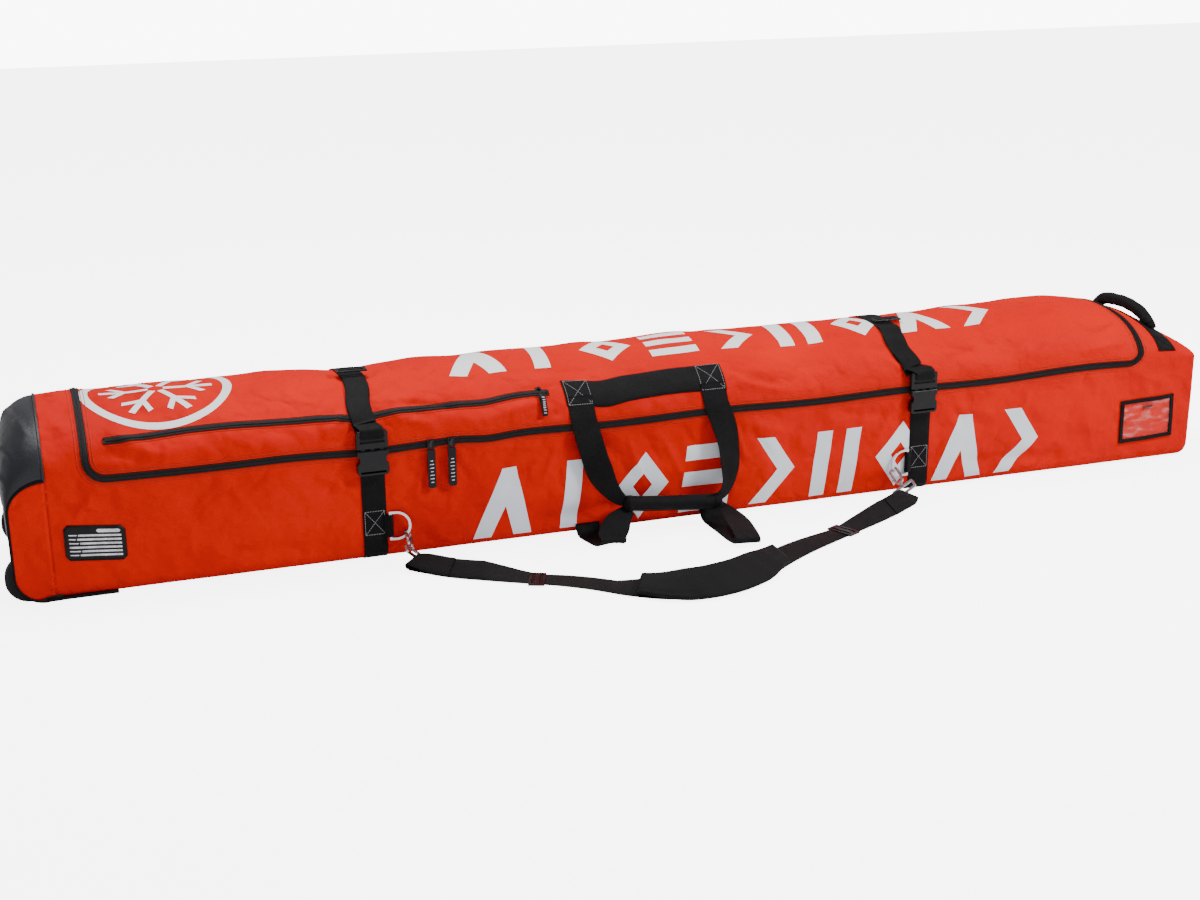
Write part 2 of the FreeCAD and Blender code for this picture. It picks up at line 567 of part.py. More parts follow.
# ---------------------------------------------------------------- shoulder strap
def floor_route(points):
    """Straight runs joined by tangent arcs, each arc as large as its two runs allow."""
    corners = [Vector(x, y, 0) for x, y in points]
    edges = []
    here = corners[0]
    radii = []
    for before, corner, after in zip(corners, corners[1:], corners[2:]):
        came, goes = (corner - before), (after - corner)
        half_turn = came.getAngle(goes) / 2
        cut = 0.45 * min(came.Length, goes.Length)
        radius = cut / math.tan(half_turn)
        radii.append(round(radius))
        start = corner - came.normalize() * cut
        end = corner + goes.normalize() * cut
        inward = (goes - came).normalize()
        centre = corner + inward * (radius / math.cos(half_turn))
        middle = centre + (corner - centre).normalize() * radius
        edges.append(Part.LineSegment(here, start).toShape())
        edges.append(Part.Arc(start, middle, end).toShape())
        here = end
    edges.append(Part.LineSegment(here, corners[-1]).toShape())
    return Part.Wire(edges), radii


def flat_sweep(path, width, low, high):
    """Webbing that lies on the floor along a path, between two heights."""
    start = path.Edges[0].Vertexes[0].Point
    along = path.Edges[0].tangentAt(path.Edges[0].FirstParameter)
    across = Vector(-along.y, along.x, 0) * (width / 2)
    corners = [start + across, start - across]
    low_edge = [c + Vector(0, 0, low) for c in corners]
    high_edge = [c + Vector(0, 0, high) for c in reversed(corners)]
    section = Part.makePolygon(low_edge + high_edge + low_edge[:1])
    return path.makePipeShell([section], True, False)


def shoulder_strap():
    route, radii = floor_route(SHOULDER_ROUTE)
    web = flat_sweep(route, SHOULDER_WIDTH, 0.3, 2.3)
    print("shoulder strap length", round(route.Length, 1), "arc radii", radii)
    print("shoulder strap section x length", round(route.Length * SHOULDER_WIDTH * 2.0), round(web.Volume))
    save("shoulder_web", web)
    pad_route, _ = floor_route(SHOULDER_ROUTE[7:12])
    save("shoulder_pad", flat_sweep(pad_route, 62, 2.6, 10.6))
    for name, i in (("left", 4), ("right", 13)):
        (xa, ya), (xb, yb) = SHOULDER_ROUTE[i], SHOULDER_ROUTE[i + 1]
        slide = block(-13, 13, -25, 25, 2.7, 5.7)
        slide = slide.cut(block(-9, -4, -20, 20, 0, 10)).cut(block(4, 9, -20, 20, 0, 10))
        middle = Vector((xa + xb) / 2, (ya + yb) / 2, 0)
        slide.Placement = Placement(middle, Rotation(Vector(0, 0, 1), math.degrees(math.atan2(yb - ya, xb - xa))))
        save(f"shoulder_slide_{name}", slide)


os.makedirs("parts", exist_ok=True)
wall_panels()
zipper_tapes()
end_piping()
wheels()
skid_plate()
main_sliders()
pocket_zip()
compression_straps()
d_rings()
snap_hooks()
carry_handle()
lower_handle()
end_handle()
id_window()
shoulder_strap()
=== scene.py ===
"""Wheeled ski bag: fabric shell, zips, straps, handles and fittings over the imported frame, in metres."""
import math
import bmesh
import bpy
import numpy as np
from mathutils import Matrix, Vector


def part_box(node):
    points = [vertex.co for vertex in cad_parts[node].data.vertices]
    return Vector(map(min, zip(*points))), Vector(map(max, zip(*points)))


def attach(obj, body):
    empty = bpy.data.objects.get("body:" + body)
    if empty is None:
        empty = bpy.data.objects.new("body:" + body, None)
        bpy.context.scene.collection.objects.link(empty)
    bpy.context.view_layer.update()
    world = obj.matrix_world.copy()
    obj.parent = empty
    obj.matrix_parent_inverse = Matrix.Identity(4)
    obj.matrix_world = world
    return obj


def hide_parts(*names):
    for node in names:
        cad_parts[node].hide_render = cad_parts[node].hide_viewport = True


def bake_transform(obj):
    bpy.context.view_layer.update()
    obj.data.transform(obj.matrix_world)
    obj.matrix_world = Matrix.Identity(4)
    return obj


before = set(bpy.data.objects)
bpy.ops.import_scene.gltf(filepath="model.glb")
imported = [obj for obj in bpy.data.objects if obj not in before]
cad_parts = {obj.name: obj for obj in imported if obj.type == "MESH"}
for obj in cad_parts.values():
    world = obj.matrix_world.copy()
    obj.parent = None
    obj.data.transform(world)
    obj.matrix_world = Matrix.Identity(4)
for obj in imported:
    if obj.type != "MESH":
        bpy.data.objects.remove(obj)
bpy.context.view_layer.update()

# ------------------------------------------------------------------ places taken from the frame
FRONT_LOW, FRONT_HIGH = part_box("front_panel")
LID_LOW, LID_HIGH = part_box("lid_panel")
LENGTH = FRONT_HIGH.x
HALF_WIDTH = -FRONT_LOW.y
ZIP_Z = FRONT_HIGH.z + 0.0004
CROWN = LID_HIGH.z - ZIP_Z
LID_LEFT = LID_LOW.x
LID_RIGHT = LID_HIGH.x
GREY_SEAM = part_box("wheel_end_panel")[1].x
LID_CORNER = 0.030
SIDES = ("left", "right")
STRAP_X = {side: sum(corner.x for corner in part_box(f"strap_sling_{side}")) / 2 for side in SIDES}
STRAP_WIDTH = 0.040
FLOOR_GAP = 0.0015
BOTTOM_ROUND = 0.020
WALL_LENGTH = 0.203
WALL_STRAIGHT = 0.865
WALL_STRETCH = 1.005
LID_LENGTH = 0.405
END_RADIUS = 0.045
GUSSET_FOOT_Z = 0.150
CLOTH_THICKNESS = 0.0028
WEB_THICKNESS = 0.0017
FRONT_SEED, BACK_SEED = 11, 12
ALONG_X = (1.0, 0, 0)
UPWARD = (0, 0, 1.0)

# ------------------------------------------------------------------ camera
CAMERA_PLACE = Vector((-1.0432, -2.8449, 1.0634))
CAMERA_AZIMUTH, CAMERA_ELEVATION, CAMERA_ROLL = -18.94, 17.86, -0.51
CAMERA_LENS = 52.5


def add_camera():
    azimuth, elevation, roll = (math.radians(a) for a in (CAMERA_AZIMUTH, CAMERA_ELEVATION, CAMERA_ROLL))
    back = Vector((math.sin(azimuth) * math.cos(elevation), -math.cos(azimuth) * math.cos(elevation),
                   math.sin(elevation)))
    right = Vector((math.cos(azimuth), math.sin(azimuth), 0))
    up = back.cross(right)
    right, up = (right * math.cos(roll) + up * math.sin(roll),
                 up * math.cos(roll) - right * math.sin(roll))
    turn = Matrix((right, up, back)).transposed().to_4x4()
    data = bpy.data.cameras.new("camera")
    data.lens = CAMERA_LENS
    data.clip_start = 0.05
    camera = bpy.data.objects.new("camera", data)
    camera.matrix_world = Matrix.Translation(CAMERA_PLACE) @ turn
    bpy.context.scene.collection.objects.link(camera)
    bpy.context.scene.camera = camera


add_camera()


# ------------------------------------------------------------------ material helpers
def new_material(name, color, roughness, metallic=0.0):
    material = bpy.data.materials.new(name)
    material.use_nodes = True
    shader = material.node_tree.nodes["Principled BSDF"]
    shader.inputs["Base Color"].default_value = (*color, 1)
    shader.inputs["Roughness"].default_value = roughness
    shader.inputs["Metallic"].default_value = metallic
    return material, material.node_tree, shader


def add_node(tree, kind, **values):
    node = tree.nodes.new(kind)
    for key, value in values.items():
        if key in node.inputs:
            node.inputs[key].default_value = value
        else:
            setattr(node, key, value)
    return node


def texture_place(tree, space="UV", scale=(1, 1, 1), turn=(0, 0, 0)):
    """Coordinates in metres: UV of the cloth, or Object."""
    place = add_node(tree, "ShaderNodeTexCoord")
    mapping = add_node(tree, "ShaderNodeMapping")
    mapping.inputs["Scale"].default_value = scale
    mapping.inputs["Rotation"].default_value = turn
    tree.links.new(place.outputs[space], mapping.inputs["Vector"])
    return mapping.outputs["Vector"]


def noise(tree, vector, scale, detail=3.0, roughness=0.5):
    node = add_node(tree, "ShaderNodeTexNoise", Scale=scale, Detail=detail, Roughness=roughness)
    tree.links.new(vector, node.inputs["Vector"])
    return node.outputs["Fac"]


def ramp(tree, value, low, high):
    """Black up to low, white from high."""
    node = add_node(tree, "ShaderNodeValToRGB")
    node.color_ramp.elements[0].position = low
    node.color_ramp.elements[1].position = high
    tree.links.new(value, node.inputs["Fac"])
    return node.outputs["Color"]


def math_node(tree, operation, a, b=0.0):
    node = add_node(tree, "ShaderNodeMath", operation=operation)
    for socket, value in zip(node.inputs, (a, b)):
        if isinstance(value, (int, float)):
            socket.default_value = value
        else:
            tree.links.new(value, socket)
    return node.outputs["Value"]


def bump_chain(tree, shader, layers):
    """Layers are (height, distance in metres, strength), coarse to fine."""
    normal = None
    for height, distance, strength in layers:
        bump = add_node(tree, "ShaderNodeBump", Distance=distance, Strength=strength)
        tree.links.new(height, bump.inputs["Height"])
        if normal is not None:
            tree.links.new(normal, bump.inputs["Normal"])
        normal = bump.outputs["Normal"]
    tree.links.new(normal, shader.inputs["Normal"])


def wave_of(tree, vector, axis, half_pitch):
    """Sine of one coordinate, which crosses nought once in every half pitch."""
    split = add_node(tree, "ShaderNodeSeparateXYZ")
    tree.links.new(vector, split.inputs["Vector"])
    angle = math_node(tree, "MULTIPLY", split.outputs[axis], math.pi / half_pitch)
    return math_node(tree, "SINE", angle)


def ribs(tree, vector, axis, pitch):
    return math_node(tree, "ABSOLUTE", wave_of(tree, vector, axis, pitch))


def weave(tree, vector, pitch):
    """Over-and-under threads: height of a plain weave with this thread spacing."""
    across, along = (wave_of(tree, vector, axis, pitch / 2) for axis in "XY")
    both_ways = math_node(tree, "MULTIPLY", across, along)
    return math_node(tree, "ADD", math_node(tree, "MULTIPLY", both_ways, 0.5), 0.5)


def worn_roughness(tree, shader, mask, base, spread):
    """Roughness that rises by this spread where the mask is white."""
    rough = math_node(tree, "ADD", math_node(tree, "MULTIPLY", mask, spread), base)
    tree.links.new(rough, shader.inputs["Roughness"])


def set_shader(shader, **values):
    """Constant sockets of the shader, named with underlines for spaces."""
    for name, value in values.items():
        shader.inputs[name.replace("_", " ")].default_value = value


def colour_mix(tree, shader, factor, first, second):
    node = add_node(tree, "ShaderNodeMix", data_type="RGBA")
    colours = [socket for socket in node.inputs if socket.type == "RGBA"]
    colours[0].default_value = (*first, 1)
    colours[1].default_value = (*second, 1)
    tree.links.new(factor, node.inputs[0])
    output = [socket for socket in node.outputs if socket.type == "RGBA"][0]
    tree.links.new(output, shader.inputs["Base Color"])


def cloth_material(name, light, dark, roughness, thread=0.0011, sheen=0.04, sheen_tint=(1, 1, 1),
                   crease=0.35, gloss=0.22, crinkle=0.0):
    """Woven cloth: uneven dye, a plain weave, fine creases, pressed-in crinkles and a soft sheen."""
    material, tree, shader = new_material(name, light, roughness)
    cloth = texture_place(tree)
    body = texture_place(tree, "Object")
    dye = ramp(tree, noise(tree, body, 3.5, 5, 0.6), 0.32, 0.72)
    colour_mix(tree, shader, dye, dark, light)
    slub = noise(tree, texture_place(tree, scale=(1, 14, 1)), 160, 2)
    crumple = noise(tree, body, 42, 4, 0.55)
    layers = [(crumple, 0.0016, crease), (slub, 0.0002, 0.35), (weave(tree, cloth, thread), 0.00018, 0.6)]
    for size, depth in ((6.0, 0.060), (17.0, 0.022)) if crinkle else ():
        field = noise(tree, texture_place(tree, "Object", turn=(0.3, 0.5, size)), size, 2, 0.45)
        ridge = math_node(tree, "ABSOLUTE", math_node(tree, "SUBTRACT", field, 0.5))
        softened = math_node(tree, "ADD", math_node(tree, "MULTIPLY", ridge, ridge), 0.0008)
        layers.insert(0, (math_node(tree, "SQRT", softened), depth, crinkle))
    bump_chain(tree, shader, layers)
    set_shader(shader, Specular_IOR_Level=gloss, Sheen_Weight=sheen, Sheen_Roughness=0.45,
               Sheen_Tint=(*sheen_tint, 1))
    worn_roughness(tree, shader, dye, roughness - 0.04, 0.08)
    return material


def webbing_material(name, light, dark):
    """Ribbed narrow webbing: U runs across the strap and V along it."""
    material, tree, shader = new_material(name, light, 0.62)
    cloth = texture_place(tree)
    body = texture_place(tree, "Object")
    colour_mix(tree, shader, ramp(tree, noise(tree, body, 30, 5, 0.65), 0.40, 0.66), dark, light)
    bump_chain(tree, shader, [(ribs(tree, cloth, "X", 0.0025), 0.00035, 0.7),
                              (ribs(tree, cloth, "Y", 0.0016), 0.00030, 0.6),
                              (noise(tree, body, 220, 4), 0.00025, 0.35)])
    set_shader(shader, Specular_IOR_Level=0.14, Sheen_Weight=0.02, Sheen_Roughness=0.5)
    return material


def moulded_material(name, color, roughness, grain=420, grain_depth=0.00012, coat=0.0):
    """Moulded plastic or rubber with a fine grain and slightly scuffed gloss."""
    material, tree, shader = new_material(name, color, roughness)
    place = texture_place(tree, "Object")
    scuff = ramp(tree, noise(tree, place, 60, 6, 0.65), 0.42, 0.68)
    worn_roughness(tree, shader, scuff, roughness - 0.05, 0.14)
    colour_mix(tree, shader, scuff, color, tuple(min(c * 1.5 + 0.002, 1) for c in color))
    bump_chain(tree, shader, [(noise(tree, place, grain, 3), grain_depth, 0.5)])
    set_shader(shader, Specular_IOR_Level=0.22, Coat_Weight=coat, Coat_Roughness=0.18)
    return material


def metal_material(name, color, roughness):
    """Plated metal with faint polishing marks."""
    material, tree, shader = new_material(name, color, roughness, 1.0)
    place = texture_place(tree, "Object")
    marks = ramp(tree, noise(tree, place, 240, 5, 0.7), 0.38, 0.7)
    worn_roughness(tree, shader, marks, roughness - 0.04, 0.12)
    colour_mix(tree, shader, marks, color, tuple(c * 0.8 for c in color))
    bump_chain(tree, shader, [(noise(tree, place, 500, 2), 0.00005, 0.4)])
    return material


def zip_material(name):
    """Zip tape: close cross ribs of the covered coil."""
    material, tree, shader = new_material(name, (0.006, 0.006, 0.007), 0.6)
    fuzz = noise(tree, texture_place(tree, "Object"), 150, 4)
    colour_mix(tree, shader, fuzz, (0.004, 0.004, 0.005), (0.010, 0.010, 0.011))
    bump_chain(tree, shader, [(ribs(tree, texture_place(tree), "Y", 0.0015), 0.0004, 0.7), (fuzz, 0.0002, 0.3)])
    set_shader(shader, Specular_IOR_Level=0.25)
    return material


def film_material(name):
    """Clear crinkled vinyl over the address card, with painted highlight streaks in its colour and opacity."""
    material, tree, shader = new_material(name, (0.95, 0.80, 0.78), 0.08)
    bump_chain(tree, shader, [(noise(tree, texture_place(tree, "Object"), 45, 3, 0.6), 0.004, 0.8)])
    # Near-white streaks of colour with extra opacity are painted highlights: glints on the crinkled vinyl.
    painted_glint = ramp(tree, noise(tree, texture_place(tree, "Object", (1, 1, 2.5)), 38, 3), 0.50, 0.72)
    colour_mix(tree, shader, painted_glint, (0.95, 0.55, 0.50), (1.0, 0.95, 0.95))
    opacity = math_node(tree, "ADD", math_node(tree, "MULTIPLY", painted_glint, 0.16), 0.05)
    tree.links.new(opacity, shader.inputs["Alpha"])
    set_shader(shader, Specular_IOR_Level=0.3, Coat_Weight=0.25, Coat_Roughness=0.05)
    return material


RED = cloth_material("red_cloth", (0.76, 0.009, 0.001), (0.60, 0.004, 0.001), 0.62,
                     sheen=0.02, sheen_tint=(1.0, 0.20, 0.08), crease=0.55, gloss=0.07, crinkle=0.75)
LINING = cloth_material("lining_cloth", (0.060, 0.062, 0.068), (0.045, 0.046, 0.050), 0.75)
GREY = cloth_material("gusset_cloth", (0.020, 0.020, 0.027), (0.010, 0.010, 0.014), 0.46, thread=0.0016,
                      crease=0.9, gloss=0.4)
WEBBING = webbing_material("black_webbing", (0.0045, 0.0040, 0.0050), (0.0018, 0.0016, 0.0022))
PADDING = cloth_material("pad_cloth", (0.0048, 0.0044, 0.0054), (0.0024, 0.0022, 0.0028), 0.68, thread=0.0014,
                         crease=0.6, gloss=0.14)
ZIP = zip_material("zip_tape")
PRINT = cloth_material("silver_print", (0.90, 0.95, 1.0), (0.72, 0.78, 0.86), 0.40, crease=0.5, gloss=0.6)
PALE_PRINT = cloth_material("pale_print", (0.98, 0.98, 1.0), (0.92, 0.92, 0.94), 0.46, crease=0.3, gloss=0.4)
THREAD = cloth_material("grey_thread", (0.42, 0.42, 0.44), (0.30, 0.30, 0.32), 0.6, thread=0.0005)
RED_THREAD = cloth_material("red_thread", (0.60, 0.040, 0.014), (0.45, 0.028, 0.010), 0.6, thread=0.0005)
BUCKLE = moulded_material("buckle_plastic", (0.005, 0.005, 0.006), 0.34, coat=0.12)
MOULDED = moulded_material("moulded_black", (0.010, 0.010, 0.011), 0.52, grain=260, grain_depth=0.0003)
RUBBER = moulded_material("tyre_rubber", (0.014, 0.014, 0.015), 0.72, grain=300, grain_depth=0.0003)
TAG = moulded_material("pull_rubber", (0.008, 0.008, 0.009), 0.55)
SLIDER = metal_material("black_slider", (0.045, 0.045, 0.050), 0.32)
STEEL = metal_material("plated_metal", (0.74, 0.74, 0.76), 0.20)
AXLE = metal_material("axle_steel", (0.48, 0.48, 0.50), 0.34)
FILM = film_material("clear_film")
LABEL_INK = moulded_material("label_black", (0.004, 0.004, 0.005), 0.5)
LABEL_BAR = moulded_material("label_grey", (0.62, 0.63, 0.68), 0.45)


# ------------------------------------------------------------------ mesh helpers
def make_object(name, vertices, faces, material, uvs):
    """Smooth mesh piece from vertices and faces; uvs has one pair per vertex."""
    mesh = bpy.data.meshes.new(name)
    mesh.from_pydata([tuple(map(float, v)) for v in vertices], [], [tuple(map(int, f)) for f in faces])
    layer = mesh.uv_layers.new(name="cloth")
    corner = np.zeros(len(mesh.loops), dtype=np.int32)
    mesh.loops.foreach_get("vertex_index", corner)
    layer.data.foreach_set("uv", np.asarray(uvs, dtype=np.float32)[corner].ravel())
    mesh.polygons.foreach_set("use_smooth", [True] * len(mesh.polygons))
    mesh.materials.append(material)
    mesh.update()
    obj = bpy.data.objects.new(name, mesh)
    bpy.context.scene.collection.objects.link(obj)
    return obj


def grid_faces(rows, columns, offset=0, wrap=False):
    """Quads of a grid of rows x columns vertices; wrap joins the last column to the first."""
    faces = []
    for start in range(offset, offset + (rows - 1) * columns, columns):
        for j in range(columns if wrap else columns - 1):
            a, b = start + j, start + (j + 1) % columns
            faces.append((a, b, b + columns, a + columns))
    return faces


def capped(rows, columns):
    """Faces of a closed round skin with an end cap at each of its two ends."""
    ends = [tuple(range(columns))[::-1], tuple(range((rows - 1) * columns, rows * columns))]
    return grid_faces(rows, columns, wrap=True) + ends


class Patchwork:
    """Several grids gathered into one mesh."""

    def __init__(self):
        self.vertices, self.faces, self.uvs = [], [], []

    def add(self, points, uvs, flip=False):
        rows, columns = points.shape[:2]
        faces = grid_faces(rows, columns, len(self.vertices))
        self.faces += [f[::-1] for f in faces] if flip else faces
        self.vertices += points.reshape(-1, 3).tolist()
        self.uvs += uvs.reshape(-1, 2).tolist()

    def build(self, name, material, merge=0.0002):
        obj = make_object(name, self.vertices, self.faces, material, self.uvs)
        if merge:
            apply_modifier(obj, "WELD", merge_threshold=merge)
        return obj


def finished_mesh(obj):
    """New mesh of an object as its modifiers or its curve leave it."""
    graph = bpy.context.evaluated_depsgraph_get()
    return bpy.data.meshes.new_from_object(obj.evaluated_get(graph), depsgraph=graph)


def apply_modifier(obj, kind, **settings):
    modifier = obj.modifiers.new(kind.lower(), kind)
    for key, value in settings.items():
        setattr(modifier, key, value)
    mesh = finished_mesh(obj)
    obj.modifiers.clear()
    old = obj.data
    obj.data = mesh
    bpy.data.meshes.remove(old)


def settle(piece, body, slot, *replaced):
    """Fix a piece to its body and hide the CAD solids it stands in for; slot is not used."""
    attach(piece, body)
    if replaced:
        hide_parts(*replaced)


def lift_above(obj, height):
    """Push every vertex that is below this height up to it."""
    for vertex in obj.data.vertices:
        vertex.co.z = max(vertex.co.z, height)


def lerp(a, b, t):
    return a + (b - a) * t


def running_length(points):
    """Distance along the line at each of its points, from nought."""
    return np.concatenate([[0], np.cumsum(np.linalg.norm(np.diff(points, axis=0), axis=-1))])


def unit(vectors):
    return vectors / np.linalg.norm(vectors, axis=-1, keepdims=True)


def smoothstep(low, high, value):
    t = np.clip((value - low) / (high - low), 0, 1)
    return t * t * (3 - 2 * t)


def hump(value, middle, width):
    return np.exp(-((value - middle) / width) ** 2)


# ------------------------------------------------------------------ the bag's surface
LID_SQUARENESS = 2.15
LID_POWER = 2 / LID_SQUARENESS
POCKET_A = 0.0620


def zip_height(x):
    """Height of the zip line, which dips beside the left strap and rises towards the far end."""
    return (ZIP_Z - 0.0045 * hump(x, -0.515, 0.075) + 0.0060 * smoothstep(0.45, 0.90, x)
            + 0.0018 * np.sin(x * 17) * smoothstep(-0.35, -0.2, x) - 0.0030 * hump(x, -0.315, 0.035)
            + 0.0010 * hump(x, -0.372, 0.028)
            + 0.0015 * np.sin(x * 11 + 1) * smoothstep(-0.62, -0.70, x))


def crown_rise(x):
    """Rise of the top's middle line over the zip line; it falls away to both ends."""
    near = np.clip((x + LENGTH) / 0.055, 0, 1)
    wheel_end = 0.010 + (CROWN - 0.010) * np.sqrt(1 - (1 - near) ** 2)
    far = np.clip((x - 0.83) / (LENGTH - 0.83), 0, 1)
    return wheel_end - (CROWN - 0.020) * far ** 2.3


def rounded_end(x, radius, furthest=1):
    """How far a quarter circle of this radius has turned in where x nears the far end."""
    past = np.clip((x - (LENGTH - radius)) / radius, 0, furthest)
    return radius * (1 - np.sqrt(1 - past ** 2))


def end_inset(x):
    """How far the section shrinks as it rounds into the far end."""
    return rounded_end(x, 0.009)


def bottom_lift(x):
    """How far the walls' lower edge rises into the far end."""
    return rounded_end(x, 0.017, 0.999)


def waves(x, a, seed, count, longest, shortest, lean=0.0):
    """Sum of smooth ripples of random direction and phase, from -1 to 1 or so."""
    rng = np.random.default_rng(seed)
    total = np.zeros(np.broadcast(x, a).shape)
    for _ in range(count):
        length = longest * (shortest / longest) ** rng.random()
        angle = lean + rng.normal(0, 0.9)
        phase = rng.random() * 2 * math.pi
        total += np.sin((x * math.cos(angle) + a * math.sin(angle)) * 2 * math.pi / length + phase) * (
            length / longest) ** 0.8
    return total / math.sqrt(count)


def crease(x, a, start, end, width, height):
    """One soft fold along the line from start to end, fading at both ends."""
    (x0, a0), (x1, a1) = start, end
    dx, da = x1 - x0, a1 - a0
    along = ((x - x0) * dx + (a - a0) * da) / (dx * dx + da * da)
    across = np.abs((x - x0) * da - (a - a0) * dx) / math.hypot(dx, da)
    fade = np.clip(along * 4, 0, 1) * np.clip((1 - along) * 4, 0, 1)
    return height * np.exp(-(across / width) ** 2) * fade


# Each fold is (start, end, width, height); places are (x, distance round the bag).
LID_CREASES = [
    ((-0.945, 0.040), (-0.820, 0.012), 0.007, -0.0030), ((-0.930, 0.085), (-0.850, 0.020), 0.009, 0.0030),
    ((-0.600, 0.020), (-0.545, 0.075), 0.006, 0.0028), ((-0.580, 0.012), (-0.530, 0.050), 0.005, -0.0028),
    ((-0.480, 0.060), (-0.400, 0.020), 0.008, 0.0032), ((-0.470, 0.085), (-0.360, 0.050), 0.007, -0.0030),
    ((-0.330, 0.030), (-0.200, 0.055), 0.009, 0.0028), ((-0.260, 0.014), (-0.180, 0.030), 0.006, -0.0026),
    ((0.110, 0.080), (0.230, 0.030), 0.009, -0.0030), ((0.130, 0.050), (0.260, 0.015), 0.007, 0.0026),
    ((0.400, 0.090), (0.470, 0.030), 0.007, 0.0030), ((0.530, 0.080), (0.640, 0.050), 0.010, -0.0026),
    ((0.820, 0.030), (0.940, 0.045), 0.008, 0.0030), ((0.850, 0.055), (0.945, 0.090), 0.010, -0.0028),
    ((-0.300, 0.130), (-0.060, 0.110), 0.012, -0.0030), ((0.150, 0.120), (0.420, 0.140), 0.014, -0.0028),
]
FRONT_CREASES = [
    ((-1.030, -0.020), (-0.940, -0.050), 0.008, 0.0030), ((-1.050, -0.050), (-0.960, -0.030), 0.007, -0.0022),
    ((-0.900, -0.010), (-0.800, -0.040), 0.009, -0.0022), ((-0.620, -0.020), (-0.545, -0.070), 0.008, 0.0026),
    ((-0.480, -0.030), (-0.380, -0.090), 0.010, -0.0022), ((-0.350, -0.010), (-0.220, -0.030), 0.007, 0.0022),
    ((-0.200, -0.020), (-0.080, -0.050), 0.010, -0.0026), ((0.120, -0.015), (0.240, -0.055), 0.010, 0.0026),
    ((0.300, -0.020), (0.460, -0.050), 0.009, -0.0024), ((0.530, -0.030), (0.660, -0.070), 0.011, 0.0024),
    ((0.700, -0.020), (0.900, -0.030), 0.009, -0.0024), ((0.930, -0.010), (1.060, -0.055), 0.011, 0.0032),
    ((0.980, -0.005), (1.075, -0.030), 0.008, -0.0030), ((-0.780, -0.150), (-0.600, -0.165), 0.014, -0.0030),
    ((-0.250, -0.160), (0.000, -0.150), 0.015, -0.0028), ((0.550, -0.150), (0.850, -0.165), 0.014, -0.0030),
]
HANDLE_CREASES = [
    ((-0.075, -0.012), (-0.045, -0.110), 0.0060, 0.0036), ((-0.050, -0.010), (-0.010, -0.085), 0.0050, -0.0034),
    ((-0.020, -0.015), (0.035, -0.120), 0.0060, 0.0034), ((0.020, -0.010), (0.060, -0.070), 0.0050, -0.0032),
    ((0.120, -0.010), (0.150, -0.100), 0.0060, 0.0032), ((0.150, -0.030), (0.215, -0.120), 0.0070, -0.0030),
    ((-0.190, -0.010), (-0.230, -0.100), 0.0060, 0.0032), ((-0.215, -0.020), (-0.300, -0.110), 0.0070, -0.0030),
    ((-0.420, -0.010), (-0.445, -0.090), 0.0055, 0.0034), ((-0.380, -0.012), (-0.350, -0.080), 0.0055, -0.0030),
    ((-0.560, -0.012), (-0.600, -0.080), 0.0060, -0.0030), ((0.545, -0.012), (0.590, -0.090), 0.0060, -0.0030),
    ((0.455, -0.015), (0.400, -0.085), 0.0060, 0.0032), ((-0.950, -0.012), (-0.990, -0.070), 0.0060, 0.0036),
    ((-0.930, -0.012), (-0.925, -0.060), 0.0055, -0.0030), ((0.960, -0.012), (0.985, -0.070), 0.0060, 0.0032),
    ((0.730, -0.012), (0.690, -0.090), 0.0070, 0.0028), ((-0.760, -0.012), (-0.720, -0.080), 0.0070, 0.0028),
]


def strap_hold(x):
    """One beside a compression strap or an end, nought in the slack spans between."""
    hold = np.zeros_like(x)
    for strap in STRAP_X.values():
        hold = np.maximum(hold, hump(x, strap, 0.055))
    return np.maximum(hold, np.maximum(smoothstep(-0.98, -1.03, x), smoothstep(0.98, 1.05, x)))


def wall_swell(x, a, seed):
    """Outward movement of an upright wall: a belly between the straps, ripples and folds."""
    slack = 1 - strap_hold(x)
    down = np.clip(-a / WALL_LENGTH, 0, 1)
    belly = 0.0036 * slack * np.sin(math.pi * np.clip((down - 0.12) / 0.80, 0, 1)) ** 1.4
    near_zip = 1 - np.exp(-(a / 0.030) ** 2)
    near_floor = 1 - np.exp(-((a + WALL_LENGTH) / 0.012) ** 2)
    mask = near_zip * near_floor * (0.25 + 0.75 * slack)
    total = belly + mask * 0.0026 * waves(x, a, seed, 20, 0.30, 0.040, lean=0.6)
    if seed == FRONT_SEED:
        for fold in FRONT_CREASES:
            total += mask * 2.0 * crease(x, a, *fold)
        for fold in HANDLE_CREASES:
            total += near_zip * crease(x, a, *fold)
    return total


def lid_swell(x, a):
    """Outward movement of the top: it is puffed between straps and pulled in under them."""
    slack = 1 - strap_hold(x)
    across = np.clip(a / LID_LENGTH, 0, 1)
    edge = np.clip(np.sin(math.pi * across), 0, 1) ** 0.5
    total = 0.0034 * slack * edge - 0.0016 * strap_hold(x) * edge * (np.abs(x) < 0.9)
    near_zip = 1 - np.exp(-(a / 0.016) ** 2)
    total = total + near_zip * edge * 0.0028 * waves(x, a, 23, 22, 0.32, 0.045, lean=0.7) * (0.3 + 0.7 * slack)
    for fold in LID_CREASES:
        total = total + near_zip * 1.4 * crease(x, a, *fold)
    pocket_edge = POCKET_A + 0.004
    puff = smoothstep(-0.955, -0.90, x) * smoothstep(-0.19, -0.24, x) * slack
    total = total + puff * 0.0032 * np.sin(math.pi * np.clip(a / pocket_edge, 0, 1)) ** 0.8
    return total


def arc_table():
    """Even spacing round the lid's section: angle for each share of its length."""
    angle = np.linspace(0, math.pi, 721)
    c, s = np.cos(angle), np.sin(angle)
    y = -HALF_WIDTH * np.sign(c) * np.abs(c) ** LID_POWER
    z = CROWN * np.abs(s) ** LID_POWER
    run = running_length(np.stack([y, z], -1))
    return run / run[-1], angle


ARC_SHARE, ARC_ANGLE = arc_table()


